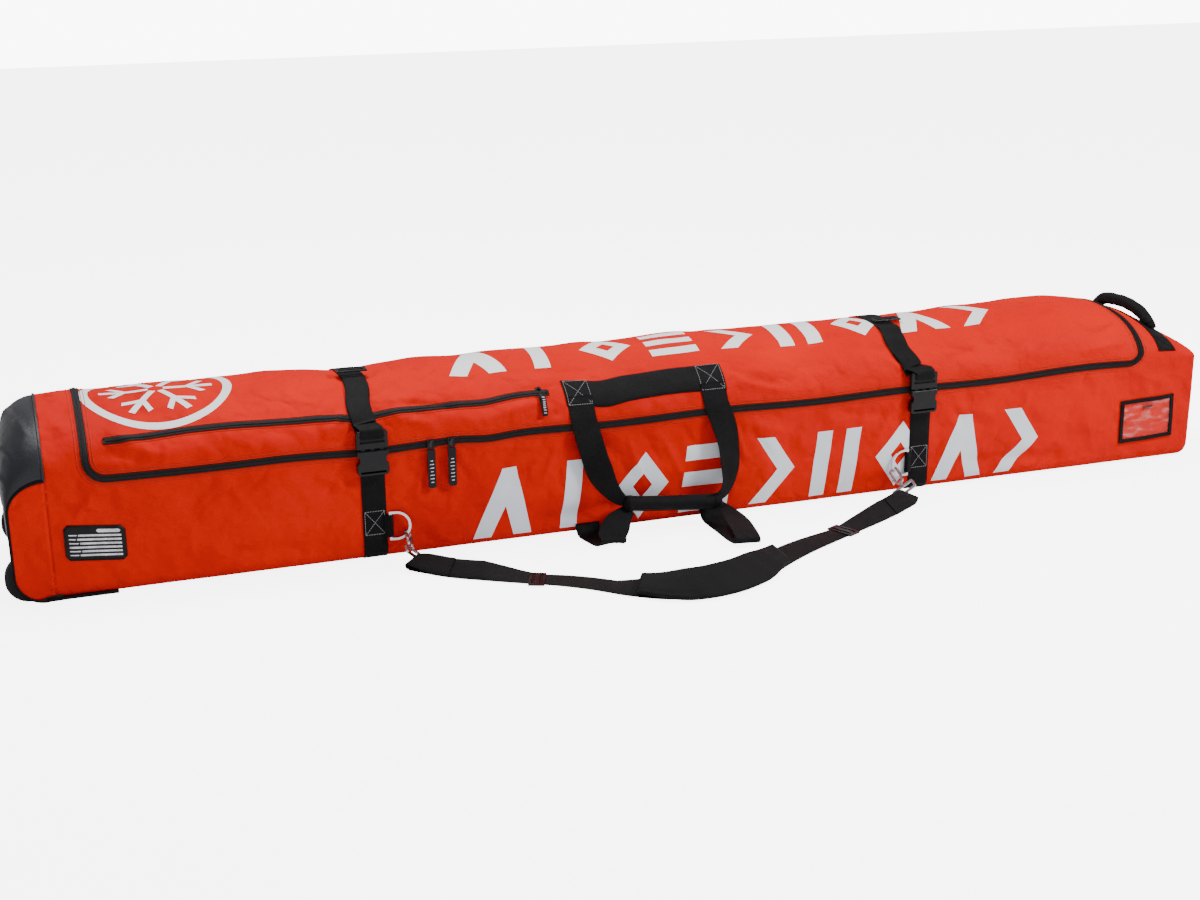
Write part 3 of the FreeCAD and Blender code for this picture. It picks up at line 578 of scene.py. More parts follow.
def plain_point(x, a, swell):
    """Point of the bag at x and at a metres round it: a < 0 runs down the front wall, 0 is the
    front zip line, LID_LENGTH the back edge of the lid, and beyond that the back wall."""
    x, a = np.broadcast_arrays(np.asarray(x, float), np.asarray(a, float))
    zip_z = zip_height(x)
    inset = end_inset(x)
    width = HALF_WIDTH - inset
    over = (a > 0) & (a < LID_LENGTH)
    angle = np.interp(np.clip(a / LID_LENGTH, 0, 1), ARC_SHARE, ARC_ANGLE)
    c, s = np.cos(angle), np.sin(angle)
    y_top = -(width + swell) * np.sign(c) * np.abs(c) ** LID_POWER
    z_top = zip_z + (crown_rise(x) - inset * 0.8 + swell) * np.abs(s) ** LID_POWER
    down = np.where(a > 0, a - LID_LENGTH, -a) / WALL_LENGTH
    low = FLOOR_GAP + BOTTOM_ROUND
    turn = np.clip((down - WALL_STRAIGHT) / (1 - WALL_STRAIGHT), 0, 1) * math.pi / 2
    y_wall = width + swell - BOTTOM_ROUND * (1 - np.cos(turn))
    z_wall = np.where(down < WALL_STRAIGHT,
                      lerp(zip_z, low, np.clip(down, 0, WALL_STRAIGHT) / WALL_STRAIGHT),
                      low - BOTTOM_ROUND * np.sin(turn))
    z_wall = zip_z - (zip_z - z_wall) * (1 - bottom_lift(x) / (zip_z - FLOOR_GAP))
    y = np.where(over, y_top, np.where(a > 0, y_wall, -y_wall))
    z = np.where(over, z_top, z_wall)
    return np.stack([x, y, z], -1)


def bag_point(x, a):
    """Point of the finished, puffed and creased surface."""
    x, a = np.broadcast_arrays(np.asarray(x, float), np.asarray(a, float))
    front = wall_swell(x, np.minimum(a, 0), FRONT_SEED)
    back = wall_swell(x, -np.maximum(a - LID_LENGTH, 0), BACK_SEED)
    top = lid_swell(x, np.clip(a, 0, LID_LENGTH))
    return plain_point(x, a, np.where(a < 0, front, np.where(a > LID_LENGTH, back, top)))


def bag_frame(x, a):
    """Point and outward normal of the surface."""
    step = 0.0015
    point = bag_point(x, a)
    along = bag_point(np.asarray(x) + step, a) - bag_point(np.asarray(x) - step, a)
    around = bag_point(x, np.asarray(a) + step) - bag_point(x, np.asarray(a) - step)
    normal = np.cross(along, around)
    normal /= np.linalg.norm(normal, axis=-1, keepdims=True) + 1e-12
    return point, normal


def on_bag(x, a, lift):
    point, normal = bag_frame(x, a)
    return point + normal * np.asarray(lift)[..., None] if np.ndim(lift) else point + normal * lift


def front_a(z, x=0.0):
    """Distance down the front wall of the height z."""
    zip_z = float(zip_height(np.asarray(float(x))))
    return -(zip_z - z) / (zip_z - FLOOR_GAP - BOTTOM_ROUND) * WALL_STRAIGHT * WALL_LENGTH


def wall_a(z):
    """Distance down the front wall of the height z, measured from the level zip line."""
    return -(ZIP_Z - z) * WALL_STRETCH


# ------------------------------------------------------------------ shell pieces
STEP = 0.0045
FAR_RIM = LENGTH - 0.0004


def quarter_turn(count):
    return np.linspace(0, math.pi / 2, count)


def spaced(low, high, step=STEP):
    return np.linspace(low, high, max(int(round(abs(high - low) / step)), 2) + 1)


def sheet_of(x_values, low_a, high_a, rows):
    """Grid over x_values, between two edges given as distances round the bag."""
    x = np.asarray(x_values)[None, :]
    share = np.linspace(0, 1, rows)[:, None]
    low = np.broadcast_to(low_a, x.shape)
    high = np.broadcast_to(high_a, x.shape)
    a = lerp(low, high, share)
    x = np.broadcast_to(x, a.shape)
    return bag_point(x, a), np.stack([x, a], -1)


def corner_edge(x):
    """Where the lid's front edge lies near its rounded corners."""
    from_end = np.minimum(x - LID_LEFT, LID_RIGHT - x)
    inside = np.clip(LID_CORNER - from_end, 0, LID_CORNER)
    return LID_CORNER - np.sqrt(LID_CORNER ** 2 - inside ** 2)


def corner_columns():
    return LID_CORNER * (1 - np.cos(quarter_turn(10)))


def panel_outline(x):
    """Top and bottom edges of the front panel where its wheel end is rounded, as heights."""
    top_share = np.clip((GREY_SEAM - x) / (GREY_SEAM + LENGTH), 0, 1)
    low_share = np.clip((-LENGTH + END_RADIUS - x) / END_RADIUS, 0, 1)
    top = GUSSET_FOOT_Z + (ZIP_Z + 0.006 - GUSSET_FOOT_Z) * np.sqrt(1 - top_share ** 2)
    low = FLOOR_GAP + END_RADIUS * (1 - np.sqrt(1 - low_share ** 2))
    return top, low


def wheel_end_side(side):
    """Rounded end of the front or back panel, beyond the seam of the grey gusset."""
    share = np.linspace(0, 1, 16)
    x = GREY_SEAM - (GREY_SEAM + LENGTH) * np.sin(share * math.pi / 2)
    top, low = panel_outline(x)
    rows = np.linspace(0, 1, 34)[:, None]
    z = lerp(low, top, rows)
    x = np.broadcast_to(x, z.shape)
    low_edge = np.clip((z - low) / BOTTOM_ROUND, 0, 1)
    round_under = BOTTOM_ROUND * (1 - np.sqrt(1 - (1 - low_edge) ** 2)) * smoothstep(-1.06, GREY_SEAM, x)
    swell = wall_swell(x, (z - ZIP_Z) * 1.04, FRONT_SEED if side < 0 else BACK_SEED)
    swell = swell * smoothstep(-LENGTH, -1.05, x)
    y = side * (HALF_WIDTH + swell - round_under)
    return np.stack([x, y, z], -1), np.stack([x, z - ZIP_Z], -1)


def far_end_cap():
    """End panel that closes the far end, drawn as rings shrinking to its middle."""
    a = np.concatenate([spaced(-WALL_LENGTH, 0), spaced(0, LID_LENGTH)[1:],
                        spaced(LID_LENGTH, LID_LENGTH + WALL_LENGTH)[1:]])
    rim = bag_point(np.full(a.shape, FAR_RIM), a)
    floor = lerp(rim[-1], rim[0], np.linspace(0, 1, 40)[1:, None])
    rim = np.concatenate([rim, floor])
    middle = np.array([LENGTH, 0, 0.105])
    shrink = np.linspace(0, 1, 14)[:, None, None]
    points = lerp(rim[None], middle[None, None], shrink)
    points[..., 0] = FAR_RIM + 0.0075 * np.sin(shrink[..., 0] * math.pi / 2)
    uvs = np.stack([points[..., 1], points[..., 2]], -1)
    return points, uvs


def body_shell():
    cloth = Patchwork()
    columns = np.concatenate([spaced(GREY_SEAM, LID_LEFT), LID_LEFT + corner_columns()[1:],
                              spaced(LID_LEFT + LID_CORNER, LID_RIGHT - LID_CORNER)[1:],
                              (LID_RIGHT - corner_columns())[::-1][1:], spaced(LID_RIGHT, LENGTH - 0.024)[1:],
                              FAR_RIM - 0.0236 * np.cos(quarter_turn(12))[1:]])
    for low, high in ((-WALL_LENGTH, 0), (LID_LENGTH, LID_LENGTH + WALL_LENGTH)):
        cloth.add(*sheet_of(columns, low, high, 46))
    near = columns[columns <= LID_LEFT + 1e-6]
    far = columns[columns >= LID_RIGHT - 1e-6]
    for part in (near, far):
        cloth.add(*sheet_of(part, 0, LID_LENGTH, 90))
    for corner in (LID_LEFT + corner_columns(), (LID_RIGHT - corner_columns())[::-1]):
        cloth.add(*sheet_of(corner, 0, corner_edge(corner) * 0.999, 7))
    cloth.add(*wheel_end_side(-1), flip=True)
    cloth.add(*wheel_end_side(1))
    cloth.add(*far_end_cap(), flip=True)
    shell = cloth.build("bag_body", RED)
    finish_cloth(shell)
    settle(shell, "root", "shell_red", "front_panel", "back_panel", "top_strip", "grab_end_panel")


def finish_cloth(obj, thickness=CLOTH_THICKNESS):
    """Give the cloth its thickness, with the lining as its inner face."""
    obj.data.materials.append(LINING)
    apply_modifier(obj, "SOLIDIFY", thickness=thickness, offset=-1, material_offset=1, use_even_offset=False)
    obj.data.polygons.foreach_set("use_smooth", [True] * len(obj.data.polygons))


def lid_shell():
    columns = np.concatenate([LID_LEFT + corner_columns(),
                              spaced(LID_LEFT + LID_CORNER, LID_RIGHT - LID_CORNER)[1:-1],
                              (LID_RIGHT - corner_columns())[::-1]])
    cloth = Patchwork()
    cloth.add(*sheet_of(columns, corner_edge(columns) + 0.0008, LID_LENGTH - 0.003, 92))
    lid = cloth.build("bag_lid", RED, merge=0)
    finish_cloth(lid)
    settle(lid, "lid", "shell_red", "lid_panel")


def hinge_fold():
    """Cloth that carries the lid on the back wall."""
    x = spaced(LID_LEFT + 0.004, LID_RIGHT - 0.004, 0.012)
    share = np.linspace(0, 1, 9)[:, None]
    a = LID_LENGTH + lerp(-0.012, 0.012, share)
    x = np.broadcast_to(x[None, :], (9, len(x)))
    points = on_bag(x, np.broadcast_to(a, x.shape), 0.0006)
    cloth = Patchwork()
    cloth.add(points, np.stack([x, np.broadcast_to(a, x.shape)], -1))
    fold = cloth.build("hinge_fold", RED, merge=0)
    finish_cloth(fold, 0.0024)
    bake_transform(fold)


def bottom_cloth():
    x = spaced(-1.040, LENGTH - 0.034, 0.02)[:, None]
    y = np.linspace(-HALF_WIDTH + 0.021, HALF_WIDTH - 0.021, 24)[None, :]
    x, y = np.broadcast_arrays(x, y)
    z = FLOOR_GAP + 0.0017 + 0.0010 * (1 + waves(x, y, 31, 8, 0.4, 0.1)) * (1 - (y / 0.14) ** 4).clip(0, 1)
    cloth = Patchwork()
    cloth.add(np.stack([x, y, z], -1), np.stack([x, y], -1), flip=True)
    bottom = cloth.build("bag_bottom", LINING, merge=0)
    apply_modifier(bottom, "SOLIDIFY", thickness=0.0025, offset=-1)
    settle(bottom, "root", "gusset_grey", "bottom_panel")


def gusset():
    """Dark grey panel over the wheel end: from its seam across the top, down the end, and under."""
    rows, columns = 60, 52
    y = np.sin(np.linspace(-1, 1, columns) * math.pi / 2)[None, :] * HALF_WIDTH
    share = np.linspace(0, 1, rows)[:, None]
    rise = np.sqrt(np.clip(1 - np.abs(y / HALF_WIDTH) ** LID_SQUARENESS, 0, 1)) ** LID_POWER
    top_z = ZIP_Z + 0.006 * (1 - rise) + CROWN * rise
    end_z = lerp(GUSSET_FOOT_Z, 0.190, rise)
    bulge = 0.010 * rise
    end_x = -LENGTH - bulge
    arc_end, flat_end = 0.42, 0.80
    angle = np.clip(share / arc_end, 0, 1) * math.pi / 2
    down = np.clip((share - arc_end) / (flat_end - arc_end), 0, 1)
    under = np.clip((share - flat_end) / (1 - flat_end), 0, 1) * math.pi / 2
    x = np.where(share <= arc_end, GREY_SEAM + (end_x - GREY_SEAM) * np.sin(angle),
                 end_x + END_RADIUS * (1 - np.cos(under)) + bulge * down * 0.9)
    z = np.where(share <= arc_end, end_z + (top_z - end_z) * np.cos(angle),
                 np.where(share <= flat_end, lerp(end_z, END_RADIUS + FLOOR_GAP, down),
                          END_RADIUS + FLOOR_GAP - END_RADIUS * np.sin(under)))
    x, y, z = np.broadcast_arrays(x, y, z)
    inner = (1 - np.abs(y / HALF_WIDTH) ** 6) * np.clip(share * 8, 0, 1) * np.clip((1 - share) * 6, 0, 1)
    ripple = waves(share * 0.35, y, 41, 14, 0.13, 0.03, lean=0.9)
    pleats = sum(crease(y + 0 * share, share * 0.35 + 0 * y, *fold) for fold in (
        ((-0.140, 0.060), (-0.050, 0.110), 0.005, 0.0045), ((-0.150, 0.100), (-0.070, 0.150), 0.005, 0.0045),
        ((-0.120, 0.020), (-0.030, 0.050), 0.006, 0.0035), ((-0.060, 0.040), (0.060, 0.070), 0.007, -0.0035),
        ((-0.145, 0.150), (-0.060, 0.210), 0.005, -0.0035), ((0.040, 0.090), (0.130, 0.050), 0.006, 0.0035)))
    facing = np.minimum(share * 2.2, 1) * math.pi / 2
    outward = np.stack([-np.sin(facing) + 0 * y, 0 * x, np.cos(facing) + 0 * y], -1)
    points = np.stack([x, y, z], -1) + outward * (inner * (ripple * 0.0012 + pleats))[..., None]
    cloth = Patchwork()
    cloth.add(points, np.stack([y, share * 0.35 + 0 * y], -1))
    panel = cloth.build("wheel_end_gusset", GREY, merge=0)
    cut_wheel_notches(panel)
    finish_cloth(panel)
    settle(panel, "root", "gusset_grey", "wheel_end_panel")


def cut_wheel_notches(panel):
    """Open the gusset in front of both wheels."""
    low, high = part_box("wheel_housing_front")
    mesh = panel.data
    keep = []
    for face in mesh.polygons:
        c = face.center
        if c.z < high.z - 0.004 and low.y + 0.002 < -abs(c.y) < high.y - 0.002:
            continue
        keep.append(tuple(face.vertices))
    uvs = np.zeros((len(mesh.vertices), 2), np.float32)
    for loop, uv in zip(mesh.loops, mesh.uv_layers[0].data):
        uvs[loop.vertex_index] = uv.uv
    fresh = make_object("notched", [v.co for v in mesh.vertices], keep, GREY, uvs)
    panel.data = fresh.data
    bpy.data.objects.remove(fresh)


# ------------------------------------------------------------------ strips that lie on a path
def ribbon(name, centre, side, width, thickness, material):
    """Flat band with rounded edges. centre is (n, 3), side one or n vectors across it, and width
    and thickness numbers or (n,) arrays."""
    centre, side = np.asarray(centre, float), np.asarray(side, float)
    n = len(centre)
    along = np.gradient(centre, axis=0)
    side = unit(side - along * (np.sum(side * along, -1) / np.sum(along * along, -1))[:, None])
    up = unit(np.cross(side, along))
    half = np.broadcast_to(np.asarray(width, float) / 2, (n,))
    thick = np.broadcast_to(np.asarray(thickness, float) / 2, (n,))
    outline = [(-1, -0.4), (-0.96, -1), (-0.5, -1), (0, -1), (0.5, -1), (0.96, -1), (1, -0.4),
               (1, 0.4), (0.96, 1), (0.5, 1), (0, 1), (-0.5, 1), (-0.96, 1), (-1, 0.4)]
    run = running_length(centre)
    vertices, uvs = [], []
    for i in range(n):
        for across, above in outline:
            vertices.append(centre[i] + side[i] * half[i] * across + up[i] * thick[i] * above)
            uvs.append((half[i] * across + (0.2 if above > 0 else 0), run[i]))
    count = len(outline)
    faces = grid_faces(n, count, wrap=True)
    faces += [tuple(range(count)), tuple(reversed(range((n - 1) * count, n * count)))]
    return make_object(name, vertices, faces, material, uvs)


def smooth_path(points, count, order=3):
    """Even points on the NURBS line that these control points make."""
    curve = bpy.data.curves.new("route", "CURVE")
    curve.dimensions = "3D"
    spline = curve.splines.new("NURBS")
    spline.points.add(len(points) - 1)
    for knot, point in zip(spline.points, points):
        knot.co = (*point, 1)
    spline.order_u = order
    spline.use_endpoint_u = True
    spline.resolution_u = 24
    holder = bpy.data.objects.new("route", curve)
    bpy.context.scene.collection.objects.link(holder)
    mesh = finished_mesh(holder)
    line = np.array([v.co for v in mesh.vertices])
    bpy.data.objects.remove(holder)
    bpy.data.curves.remove(curve)
    bpy.data.meshes.remove(mesh)
    run = running_length(line)
    even = np.linspace(0, run[-1], count)
    return np.stack([np.interp(even, run, line[:, k]) for k in range(3)], -1)


def tube(name, points, radius, material, sides=14, closed=False):
    points = np.asarray(points, float)
    n = len(points)
    if closed:
        along = np.roll(points, -1, 0) - np.roll(points, 1, 0)
    else:
        along = np.gradient(points, axis=0)
    along = unit(along)
    across = [unit(np.cross(along[0], (0.13, 0.31, 0.94)))]
    for i in range(1, n):
        across.append(unit(across[-1] - along[i] * np.dot(across[-1], along[i])))
    across = np.array(across)
    up = np.cross(along, across)
    if closed:
        drift = math.atan2(np.dot(np.cross(across[-1], across[0]), along[0]), np.dot(across[-1], across[0]))
        angles = drift * np.arange(n) / n
        across, up = (across * np.cos(angles)[:, None] + up * np.sin(angles)[:, None],
                      up * np.cos(angles)[:, None] - across * np.sin(angles)[:, None])
    radius = np.broadcast_to(np.asarray(radius, float), (n,))
    turn = np.linspace(0, 2 * math.pi, sides, endpoint=False)
    ring = across[:, None] * np.cos(turn)[None, :, None] + up[:, None] * np.sin(turn)[None, :, None]
    points = points[:, None] + ring * radius[:, None, None]
    run = running_length(points[:, 0])
    uvs = np.stack(np.broadcast_arrays(turn[None, :] * float(radius.mean()), run[:, None]), -1)
    if closed:
        last = (n - 1) * sides
        faces = grid_faces(n, sides, wrap=True)
        faces += [(last + j, last + (j + 1) % sides, (j + 1) % sides, j) for j in range(sides)]
    else:
        faces = capped(n, sides)
    return make_object(name, points.reshape(-1, 3), faces, material, uvs.reshape(-1, 2))


def band_on_bag(name, x_values, a_values, width, lift, thickness, material):
    """Webbing sewn onto the surface along a path of (x, a) points."""
    x, a = np.asarray(x_values, float), np.asarray(a_values, float)
    dx, da = np.gradient(x), np.gradient(a)
    size = np.hypot(dx, da)
    reach = 0.002
    left = bag_point(x - da / size * reach, a + dx / size * reach)
    right = bag_point(x + da / size * reach, a - dx / size * reach)
    side = left - right
    return ribbon(name, on_bag(x, a, lift), side, width, thickness, material)


def patch_on_bag(name, x0, x1, a0, a1, lift, thickness, material, edge_wave=0.0):
    """Wide webbing that follows the surface both ways, with thin edges."""
    x = spaced(x0, x1)[None, :]
    share = np.linspace(0, 1, 13)[:, None]
    sag = edge_wave * (np.sin(x * 31 + 1) - 6 * hump(x, lerp(x0, x1, 0.24), 0.030))
    a = lerp(a0 + 0.003 * (edge_wave > 0) * np.sin(math.pi * (x - x0) / (x1 - x0)), a1, share) + sag
    x = np.broadcast_to(x, a.shape)
    edge = np.clip(np.minimum(share, 1 - share) * 12, 0.25, 1) + 0 * x
    cloth = Patchwork()
    cloth.add(on_bag(x, a, lift + thickness * edge), np.stack([a - a0, x], -1))
    cloth.add(on_bag(x, a, np.full(a.shape, lift)), np.stack([a - a0, x], -1), flip=True)
    for i in (0, -1):
        rim = on_bag(x[i], a[i], np.full(x[i].shape, lift))
        top = on_bag(x[i], a[i], lift + thickness * edge[i])
        cloth.add(np.stack([rim, top]), np.stack([np.stack([a[i] - a0, x[i]], -1)] * 2), flip=i == -1)
    for j in (0, -1):
        rim = on_bag(x[:, j], a[:, j], np.full(a.shape[0], lift))
        top = on_bag(x[:, j], a[:, j], lift + thickness * edge[:, j])
        cloth.add(np.stack([rim, top]), np.stack([np.stack([a[:, j] - a0, x[:, j]], -1)] * 2), flip=j == 0)
    return cloth.build(name, material, merge=0.00001)


def add_all(pieces, name, material):
    """Join piece meshes into one object."""
    vertices, faces, uvs = [], [], []
    for piece in pieces:
        mesh = piece.data
        base = len(vertices)
        vertices += [tuple(v.co) for v in mesh.vertices]
        faces += [tuple(base + i for i in face.vertices) for face in mesh.polygons]
        own = np.zeros((len(mesh.vertices), 2), np.float32)
        if mesh.uv_layers:
            for loop, uv in zip(mesh.loops, mesh.uv_layers[0].data):
                own[loop.vertex_index] = uv.uv
        uvs += own.tolist()
        bpy.data.objects.remove(piece)
        bpy.data.meshes.remove(mesh)
    return make_object(name, vertices, faces, material, uvs)


body_shell()
lid_shell()
hinge_fold()
bottom_cloth()
gusset()


# ------------------------------------------------------------------ zips
def lid_a(z, x=0.0):
    """Distance round the lid at which its surface reaches the height z."""
    share = np.linspace(0, 0.5, 200)
    heights = plain_point(np.full(200, x), share * LID_LENGTH, np.zeros(200))[:, 2]
    return float(np.interp(z, heights, share)) * LID_LENGTH


def outline_path(offset, back_a):
    """The lid's front edge and two ends as (x, a), moved outwards by offset."""
    r, turn = LID_CORNER, quarter_turn(9)
    left = spaced(back_a, r)
    xs = [np.full(len(left), LID_LEFT - offset),
          LID_LEFT + r - (r + offset) * np.cos(turn),
          spaced(LID_LEFT + r, LID_RIGHT - r)]
    ys = [left, r - (r + offset) * np.sin(turn), np.full(len(xs[2]), -offset)]
    xs += [LID_RIGHT - r + (r + offset) * np.sin(turn), np.full(len(left), LID_RIGHT + offset)]
    ys += [r - (r + offset) * np.cos(turn), left[::-1]]
    x, a = np.concatenate(xs), np.concatenate(ys)
    keep = np.concatenate([[True], np.hypot(np.diff(x), np.diff(a)) > 1e-6])
    return x[keep], a[keep]


def zip_spread(x):
    """Share of the zip's full width that shows: the cloth lips close over it at the far end."""
    return 0.92 - 0.42 * smoothstep(0.82, 0.96, x)


def red_seam(name, x, a, body):
    """Row of red thread beside a zip, along a path of (x, a) points."""
    thick, lift = 0.0009, 0.0004
    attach(band_on_bag(name, x, a, thick, lift, thick, RED_THREAD), body)


def main_zip():
    back = LID_LENGTH * 0.90
    root_parts, lid_parts = [], []
    strands = ((0.0032, 0.0038, 0.0010, 0.0014, ZIP), (0.0010, 0.0019, 0.0016, 0.0024, ZIP),
               (0.0053, 0.0010, 0.0013, 0.0018, WEBBING))
    for body, sign, parts in (("root", 1, root_parts), ("lid", -1, lid_parts)):
        for offset, width, lift, thickness, material in strands:
            x, a = outline_path(sign * offset, back)
            parts.append(band_on_bag("strand", x, a, width * zip_spread(x), lift, thickness, material))
        joined = add_all(parts, f"zip_half_{body}", ZIP)
        settle(joined, body, "zip_tape", "zipper_lower_tape" if body == "root" else "zipper_upper_tape")
        for k, distance in enumerate((0.0078, 0.0122)):
            red_seam(f"zip_seam_{body}_{k}", *outline_path(sign * distance, back), body)


def pocket_line(x):
    """Height of the pocket zip, which wanders as the flap puffs."""
    return (POCKET_A + 0.0030 * np.sin(x * 23 + 0.8) - 0.0060 * hump(x, -0.530, 0.045)
            + 0.0026 * hump(x, -0.70, 0.08))


def pocket_zip():
    low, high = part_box("pocket_zipper")
    x = spaced(low.x, high.x)
    parts = [band_on_bag("tape", x, pocket_line(x) + side * 0.0032, 0.0048, 0.0012, 0.0014, ZIP)
             for side in (-1, 1)]
    parts.append(band_on_bag("coil", x, pocket_line(x), 0.0030, 0.0018, 0.0022, ZIP))
    for end in (low.x, high.x):
        a = pocket_line(np.array([end]))[0]
        parts.append(band_on_bag("stop", [end, end], [a - 0.0045, a + 0.0045], 0.004, 0.0016, 0.0020,
                                 WEBBING))
    joined = add_all(parts, "pocket_zip_tape", ZIP)
    settle(joined, "lid", "zip_tape", "pocket_zipper")
    for k, side in enumerate((-1, 1)):
        red_seam(f"pocket_seam_{k}", x, pocket_line(x) + side * 0.0082, "lid")


# ------------------------------------------------------------------ stitching
def stitches(name, lines, body, material=THREAD):
    """Rows of thread on a band of the bag along (x, a) lines."""
    dash, gap, radius, lift = 0.0032, 0.0012, 0.00045, 0.0022
    parts = []
    for line in lines:
        line = np.asarray(line, float)
        run = running_length(line)
        start = 0.0
        while start < run[-1] - dash:
            place = np.array([start, start + dash / 2, start + dash])
            x, a = np.interp(place, run, line[:, 0]), np.interp(place, run, line[:, 1])
            lifts = np.array([lift, lift + radius * 0.7, lift])
            parts.append(tube("stitch", on_bag(x, a, lifts), radius, material, 5))
            start += dash + gap
    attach(add_all(parts, name, material), body)


def cross_box(x0, x1, a0, a1):
    """Lines of a box stitch with its two diagonals, set in from the edges of the band."""
    inset = 0.003
    x0, x1, a0, a1 = x0 + inset, x1 - inset, a0 + inset, a1 - inset
    return [[(x0, a0), (x1, a0), (x1, a1), (x0, a1), (x0, a0)], [(x0, a0), (x1, a1)], [(x0, a1), (x1, a0)]]


# ------------------------------------------------------------------ compression straps
def strap_drift(side, a):
    """Sideways wander of a strap that has been pulled tight by hand."""
    if side == "left":
        return 0.002 - 0.012 * hump(a, 0.075, 0.05) - 0.001 * hump(a, 0.2, 0.05)
    return -0.003 - 0.022 * hump(a, 0.085, 0.06) - 0.008 * hump(a, 0.2, 0.06)


def compression_strap(side):
    middle = STRAP_X[side]
    socket_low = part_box(f"buckle_socket_{side}")[0]
    plug_low, plug_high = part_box(f"buckle_plug_{side}")
    top = front_a(socket_low.z + 0.010, middle)
    a = spaced(-WALL_LENGTH * WALL_STRAIGHT, top)
    front = on_bag(np.full(a.shape, middle), a, 0.0013)
    y = np.minimum(front[:, 1], -HALF_WIDTH - 0.0012)
    front[:, 1] = y - 0.0022 * smoothstep(top - 0.02, top, a)
    turn = quarter_turn(8)[1:]
    corner = np.stack([np.full(7, middle), front[0, 1] + 0.020 * (1 - np.cos(turn)),
                       front[0, 2] - 0.0195 * np.sin(turn)], -1)
    floor_y = np.linspace(corner[-1, 1], -corner[-1, 1], 30)[1:-1]
    floor = np.stack([np.full(28, middle), floor_y, np.full(28, corner[-1, 2])], -1)
    back_corner = corner[::-1] * (1, -1, 1)
    b = spaced(LID_LENGTH + WALL_LENGTH * WALL_STRAIGHT, LID_LENGTH + 0.008)
    back = on_bag(np.full(b.shape, middle), b, 0.0013)
    back_corner[:, 1] += back[0, 1] + front[0, 1]
    path = np.concatenate([front[::-1], corner, floor, back_corner, back])
    sling = ribbon(f"sling_{side}", path, ALONG_X, STRAP_WIDTH, 0.0016, WEBBING)
    lift_above(sling, 0.0002)
    settle(sling, "root", "webbing", f"strap_sling_{side}")
    half = STRAP_WIDTH / 2 - 0.0005
    box = cross_box(middle - half, middle + half, front_a(0.044, middle), front_a(0.090, middle))
    stitches(f"sling_box_{side}", box, "root")

    start = lid_a(plug_high.z - 0.006, middle)
    end = LID_LENGTH - 0.006
    a = spaced(start, end)
    x = middle + strap_drift(side, a)
    lift = 0.0016 + 0.0022 * np.exp(-((a - start) / 0.010) ** 2) + 0.0008 * np.sin(a * 60) ** 2
    points = on_bag(x, a, lift)
    over = ribbon(f"over_strap_{side}", points, ALONG_X, STRAP_WIDTH, WEB_THICKNESS, WEBBING)
    settle(over, "lid", "webbing", f"strap_over_{side}")

    bridge = np.linspace(end - 0.004, LID_LENGTH + 0.012, 9)
    hinge = ribbon(f"strap_hinge_{side}", on_bag(np.full(9, middle), bridge, 0.0017),
                   ALONG_X, STRAP_WIDTH, 0.0018, WEBBING)
    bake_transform(hinge)

    inside = [(middle, -HALF_WIDTH - 0.0052, plug_low.z + 0.012),
              (middle, -HALF_WIDTH - 0.0054, plug_low.z + 0.018),
              (middle, plug_low.y + 0.0030, plug_low.z + 0.0215),
              (middle, plug_low.y - 0.0004, plug_high.z - 0.004),
              (middle + 0.0004, plug_low.y + 0.0010, plug_high.z + 0.004), tuple(points[3])]
    thread_in = ribbon(f"plug_strap_{side}", smooth_path(inside, 24), ALONG_X,
                       STRAP_WIDTH - 0.001, WEB_THICKNESS, WEBBING)
    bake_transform(thread_in)
    tail_end = lid_a(CROWN + ZIP_Z - 0.0005, middle)
    b = spaced(start + 0.012, tail_end)
    x = middle + strap_drift(side, b)
    flap = (0.0036 + 0.0016 * np.sin(np.linspace(0, 9, len(b))) ** 2
            + 0.0030 * smoothstep(b[0] + 0.03, b[0], b))
    tail = ribbon(f"strap_tail_{side}", on_bag(x, b, flap), ALONG_X,
                  STRAP_WIDTH - 0.001, WEB_THICKNESS, WEBBING)
    settle(tail, "lid", "webbing")


# ------------------------------------------------------------------ carry handle
def carry_band():
    low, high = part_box("carry_handle_band")
    a0, a1 = lid_a(low.z), lid_a(high.z)
    band = patch_on_bag("carry_band", low.x, high.x, a0, a1, 0.0004, 0.0016, WEBBING, 0.0010)
    settle(band, "lid", "webbing", "carry_handle_band")
    boxes = cross_box(low.x, low.x + 0.048, a0, a1) + cross_box(high.x - 0.048, high.x, a0, a1)
    stitches("carry_band_thread", boxes, "lid")


GRIP_TILT = 0.0068
GRIP_SWAY = 0.0050


def grip_place(x):
    """Middle line of the grip, whose far end hangs lower and further forward."""
    low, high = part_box("handle_grip")
    share = np.asarray(x, float) / high.x
    y = (low.y + high.y) / 2 - GRIP_SWAY * share
    z = (low.z + high.z) / 2 - GRIP_TILT * share
    return y, z


